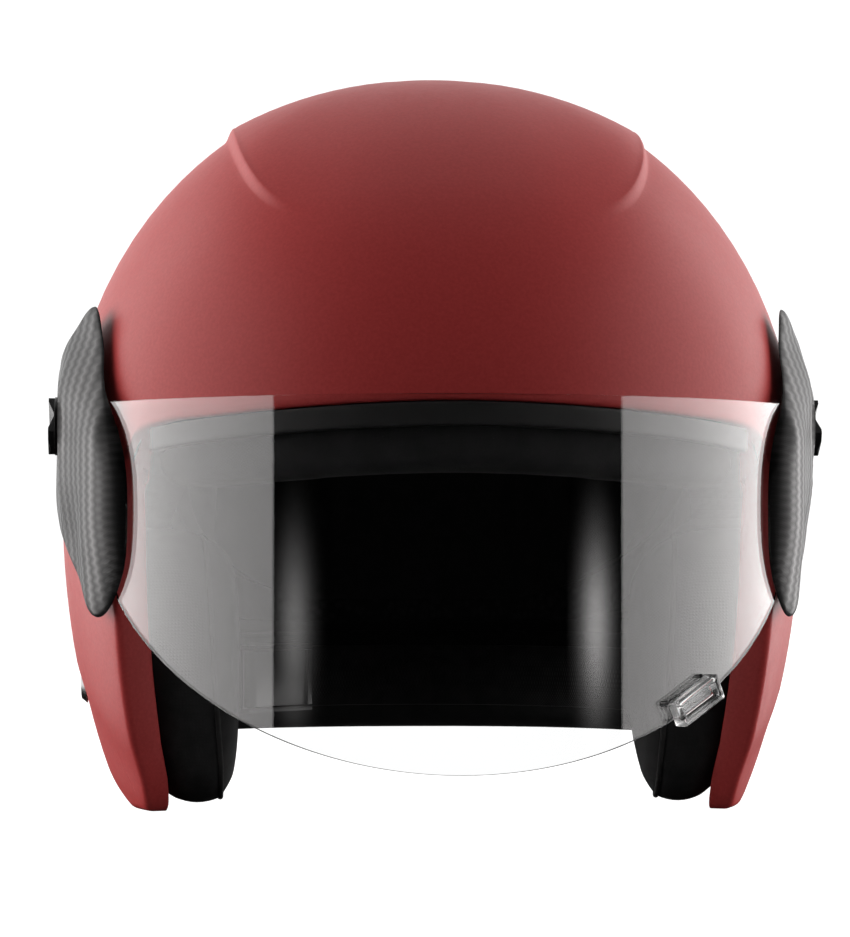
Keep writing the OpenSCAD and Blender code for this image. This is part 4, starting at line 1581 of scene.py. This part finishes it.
@dataclass
class Studio:
    """White floor and background, soft light from both sides, and the photograph's camera."""

    turn: float = 3.9
    far: float = 1.3
    eye_z: float = 0.0824
    lens: float = 145.6
    sensor: float = 36.0
    picture_h: float = 937.0
    shift: Pair = (-5.0, 91.5)
    ring_r: float = 1.7
    middle: Pair = (0.0, -0.03)
    panel_az: Pair = (38.0, 140.0)
    front_az: float = 57.0
    rear_az: float = 122.0
    panel_z: Pair = (-0.4, 1.7)
    glow: Point = (1.4, 2.65, 3.0)
    band_gain: float = 0.65
    band_z: Pair = (0.08, 0.35)
    spot_glow: Pair = (3.4, 1.6)
    spot_az: Pair = (47.8, 50.0)
    spot_turn: float = 4.5
    spot_z: Pair = (0.035, 0.05)
    top_glow: float = 0.7
    back_glow: float = 1.25
    back_y: Pair = (0.45, 0.95)
    dim: float = 0.004
    horizon: float = -0.05
    white: float = 1.1

    def world(self) -> None:
        """White for the camera and through clear sheets; otherwise a glow behind the helmet."""
        world = bpy.data.worlds.new("studio")
        bpy.context.scene.world = world
        world.use_nodes = True
        n = Nodes(world.node_tree)
        n.tree.nodes.clear()
        seen, lit = n.add("ShaderNodeBackground"), n.add("ShaderNodeBackground")
        seen.inputs["Color"].default_value = lit.inputs["Color"].default_value = (1, 1, 1, 1)
        seen.inputs["Strength"].default_value = self.white
        split = n.add("ShaderNodeSeparateXYZ")
        n.feed(split.inputs[0], n.add("ShaderNodeTexCoord").outputs["Generated"])
        rise = n.spread(split.outputs["Y"], self.dim, self.back_glow, *self.back_y)
        above = n.math("GREATER_THAN", split.outputs["Z"], self.horizon)
        n.feed(lit.inputs["Strength"], n.math("MULTIPLY", rise, above))
        path = n.add("ShaderNodeLightPath").outputs
        bounces = n.math("ADD", path["Glossy Depth"], path["Diffuse Depth"])
        plain = n.math("LESS_THAN", bounces, 0.5)
        through = n.math("MULTIPLY", path["Is Transmission Ray"], plain)
        blend, out = n.add("ShaderNodeMixShader"), n.add("ShaderNodeOutputWorld")
        n.feed(blend.inputs[0], n.math("MAXIMUM", path["Is Camera Ray"], through))
        n.feed(blend.inputs[1], lit.outputs[0])
        n.feed(blend.inputs[2], seen.outputs[0])
        n.feed(out.inputs[0], blend.outputs[0])

    def floor(self) -> None:
        """Wide pale floor just under the cheek tips."""
        deselect()
        bpy.ops.mesh.primitive_plane_add(size=14, location=(0, 0, -0.0006))
        plane = bpy.context.object
        plane.name = "studio_floor"
        c = Craft("studio_floor")
        c.set(Base_Color=(0.2, 0.2, 0.2, 1), Emission_Color=(1, 1, 1, 1), Specular_IOR_Level=0.1)
        seen = c.add("ShaderNodeLightPath").outputs["Is Camera Ray"]
        c.feed(c.shader.inputs["Emission Strength"], c.spread(seen, 0.02, self.white))
        c.roughness(c.spread(c.noise(6), 0.85, 0.95))
        plane.data.materials.append(c.material)
        plane.visible_glossy = plane.visible_transmission = False

    def side_panel(self, side: Side) -> None:
        """Stands a tall curved panel beside the helmet, with a soft glow ahead of its front edge.

        Args:
            side: The wearer's side.
        """
        rings, (mid_x, mid_y) = [], self.middle
        for i in range(49):
            az = mix(*self.panel_az, i / 48)
            x = mid_x + side.value * sind(az) * self.ring_r
            y = mid_y - cosd(az) * self.ring_r
            rings.append([(x / MM, y / MM, z / MM) for z in np.linspace(*self.panel_z, 9)])
        obj = loft(f"studio_{side.word}_panel", rings)
        c = Craft(f"studio_{side.word}_panel")
        c.set(Base_Color=(0, 0, 0, 1), Specular_IOR_Level=0.0, Emission_Color=(1.0, 0.975, 0.97, 1))
        out = c.math("ABSOLUTE", c.math("SUBTRACT", c.axis("X"), mid_x))
        ahead = c.math("SUBTRACT", mid_y, c.axis("Y"))
        az = c.math("MULTIPLY", c.math("ARCTAN2", out, ahead), 180 / math.pi)
        bend = c.math("POWER", c.spread(az, 0.0, 1.0, self.front_az, self.rear_az), 1.2)
        front, rear, end = self.glow
        broad = c.spread(bend, front, rear)
        broad = c.math("ADD", broad, c.spread(az, 0.0, end - rear, self.rear_az, self.panel_az[1]))
        broad = c.math("MULTIPLY", broad, c.math("GREATER_THAN", az, self.front_az))
        band = c.math("MULTIPLY_ADD", c.bell(c.axis("Z"), *self.band_z), self.band_gain, 1.0)
        broad = c.math("MULTIPLY", broad, band)
        i = list(Side).index(side)
        turned = c.bell(az, self.spot_az[i], self.spot_turn)
        soft = c.math("MULTIPLY", turned, c.bell(c.axis("Z"), *self.spot_z))
        soft = c.math("MULTIPLY", soft, c.math("LESS_THAN", az, self.front_az))
        soft = c.math("MULTIPLY", soft, self.spot_glow[i])
        c.feed(c.shader.inputs["Emission Strength"], c.math("ADD", broad, soft))
        obj.data.materials.append(c.material)
        obj.visible_camera = False

    def top_panel(self) -> None:
        """Hangs a soft panel over the helmet that the camera doesn't see."""
        deselect()
        bpy.ops.object.light_add(type="AREA", location=(0, 0.35, 1.7))
        lamp = bpy.context.object
        lamp.name = lamp.data.name = "top_panel"
        lamp.data.shape = "RECTANGLE"
        lamp.data.size = lamp.data.size_y = 1.5
        lamp.data.energy = self.top_glow * math.pi * lamp.data.size**2
        lamp.rotation_euler = (math.radians(-11), 0, 0)
        lamp.visible_camera = False

    def camera(self) -> None:
        """Camera at the photograph's angle, framed by a small tilt."""
        data = bpy.data.cameras.new("camera")
        data.lens, data.sensor_width = self.lens, self.sensor
        camera = bpy.data.objects.new("camera", data)
        bpy.context.scene.collection.objects.link(camera)
        s, c = sind(self.turn), cosd(self.turn)
        camera.location = (-self.far * s, -self.far * c, self.eye_z)
        pixel = self.far * self.sensor / self.lens / self.picture_h
        aside, up = self.shift[0] * pixel, self.shift[1] * pixel
        aim = Vector((aside * c, -aside * s, self.eye_z + up))
        camera.rotation_euler = (aim - camera.location).to_track_quat("-Z", "Y").to_euler()
        bpy.context.scene.camera = camera

    def build(self) -> None:
        """Sets the whole studio."""
        bpy.context.scene.view_settings.view_transform = "Standard"
        self.world()
        self.floor()
        for side in Side:
            self.side_panel(side)
        self.top_panel()
        self.camera()


@dataclass
class Helmet:
    """The whole helmet over the loaded frame."""

    frame: dict[str, Any]

    def rounded(self, name: str, edge: float, segments: int) -> Piece:
        """Copies a frame node into a merged piece with plain faces and rounded edges.

        Args:
            name: Name of the node.
            edge: Width of the rounding in millimetres.
            segments: Steps of the rounding.

        Returns:
            The new piece.
        """
        obj = copied(self.frame["nodes"][name], f"{name}_round")
        with editing(obj):
            bpy.ops.mesh.remove_doubles(threshold=MERGE)
            bpy.ops.mesh.dissolve_limited(angle_limit=math.radians(1))
        round_edges(obj, edge, segments)
        smooth(obj)
        return obj

    def dress(self, material: Look, *names: str) -> None:
        """Gives frame nodes a finish.

        Args:
            material: The finish.
            *names: Names of the nodes.
        """
        for name in names:
            node = self.frame["nodes"][name]
            if not node.material_slots:
                node.data.materials.append(material)
            for held in node.material_slots:
                held.material = material
            LOG.info("node %s dressed in %s", name, material.name)

    def shell(self, shell: Shell) -> None:
        """Adds the painted shell.

        Args:
            shell: The shell.
        """
        red = Paint("shell_paint", (0.54, 0.052, 0.051), (0.6, 0.064, 0.062)).make()
        bare = Plastic("shell_bare", grey(0.012), grey(0.02), 0.6).make()
        obj = place(shell.build(), red, Body.HELMET, "shell_paint", "outer_shell")
        shell.bare_inside(obj, bare)

    def pad(self, obj: Piece, knit: Look, node: str) -> None:
        """Dresses a soft pad."""
        place(obj, knit, Body.HELMET, "pad_fabric", node)

    def lining(self, form: Form, shell: Shell) -> None:
        """Adds trim and pads, and dresses the foam.

        Args:
            form: The skin.
            shell: The shell round the lining.
        """
        lining = Lining(form, shell)
        knit = Fabric("pad_fabric").make()
        rubber = Plastic("edge_trim", grey(0.009), grey(0.016), 0.5).make()
        self.dress(Foam().make(), "impact_liner")
        place(lining.trim(), rubber, Body.HELMET, "edge_trim", "brow_trim")
        brow = lining.brow_pad()
        lining.swell(brow, 4.0, 1.2)
        self.pad(brow, knit, "brow_pad")
        self.pad(lining.crown_pad(), knit, "crown_pad")
        neck = lining.neck_roll()
        lining.swell(neck, 4.5, 1.2)
        self.pad(neck, knit, "neck_roll")
        left = lining.cheek_pad()
        lining.swell(left, 4.0, 1.6)
        pipe = lining.piping(left, 0.93, "left_cheek_piping")
        right, twin = mirrored(left, "right_cheek_soft"), mirrored(pipe, "right_cheek_piping")
        self.pad(left, knit, "left_cheek_pad")
        self.pad(right, knit, "right_cheek_pad")
        cord = Fabric("pad_piping", grey(0.014), grey(0.03), 0.8).make()
        place(pipe, cord, Body.HELMET, "pad_fabric")
        place(twin, cord, Body.HELMET, "pad_fabric")

    def visor(self, form: Form) -> None:
        """Adds the visor with its tab, and the side covers.

        Args:
            form: The skin.
        """
        visor = Visor()
        for piece, clear, nodes in (
            (visor.sheet(), Clear(), ["visor"]),
            (visor.lift_tab(), Clear("tab_clear", 0.16), []),
        ):
            place(piece, clear.make(), Body.VISOR, "visor_clear", *nodes)
            piece.visible_shadow = False
        weave = Weave().make()
        left = SideCover(form, visor).build()
        right = mirrored(left, "right_cover_smooth")
        place(left, weave, Body.VISOR, "cover_weave", "left_side_cover")
        place(right, weave, Body.VISOR, "cover_weave", "right_side_cover")

    def pivots(self) -> None:
        """Adds the knobs and dresses the pivot and rivet hardware."""
        black = Plastic("knob_plastic", grey(0.008), (0.016, 0.016, 0.017), 0.36).make()
        for side, body in ((Side.LEFT, Body.LEFT_KNOB), (Side.RIGHT, Body.RIGHT_KNOB)):
            name = f"{side.word}_knob"
            place(self.rounded(name, 0.45, 3), black, body, "knob_plastic", name)
        cups = Plastic("pivot_plastic", grey(0.012), grey(0.022), 0.45).make()
        pale = Plastic("bearing_plastic", (0.62, 0.62, 0.59), (0.72, 0.72, 0.69), 0.4).make()
        zinc = Steel("steel", 0.3, 0.34).make()
        soft = Plastic("spacer_rubber", (0.03, 0.03, 0.031), (0.05, 0.05, 0.052), 0.6).make()
        for side in Side:
            self.dress(cups, f"{side.word}_pivot_cup")
            self.dress(pale, f"{side.word}_pivot_hub", f"{side.word}_friction_ring")
            self.dress(zinc, f"{side.word}_lock_nut")
        self.dress(zinc, "hub_screws", "strap_rivets")
        self.dress(soft, "strap_spacers")

    def buckle(self) -> None:
        """Adds the buckle's frame, tongue, pin and lever."""
        dark = Steel("dark_steel", 0.035, 0.46).make()
        for name, edge in (("buckle_body", 0.5), ("ratchet_tongue", 0.2), ("buckle_pin", 0.3)):
            place(self.rounded(name, edge, 2), dark, Body.HELMET, "steel", name)
        dull = Plastic("lever_plastic", grey(0.01), grey(0.02), 0.4).make()
        lever = self.rounded("buckle_lever", 0.5, 3)
        place(lever, dull, Body.LEVER, "lever_plastic", "buckle_lever")

    def straps(self, form: Form) -> None:
        """Adds the chin strap's webbing.

        Args:
            form: The skin.
        """
        straps, cloth = Straps(form), Webbing().make()
        run = (straps.rivet_az - straps.tail, 360 + straps.buckle_az - 12)
        left = straps.webbing("left_strap_webbing", *run)
        place(left, cloth, Body.HELMET, "webbing", "left_strap")
        run = (straps.tail - straps.rivet_az, straps.buckle_az - 8)
        right = straps.webbing("right_strap_webbing", *run)
        place(right, cloth, Body.HELMET, "webbing", "right_strap")

    def build(self) -> None:
        """Builds the sub-assemblies in order."""
        form = Form()
        shell = Shell(form)
        self.shell(shell)
        self.lining(form, shell)
        self.visor(form)
        self.pivots()
        self.buckle()
        self.straps(form)


def main() -> None:
    """Loads the frame and builds the helmet and its studio."""
    logging.basicConfig(level=logging.INFO, format="%(name)s: %(message)s")
    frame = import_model()
    Helmet(frame).build()
    Studio().build()


if __name__ == "__main__":
    main()
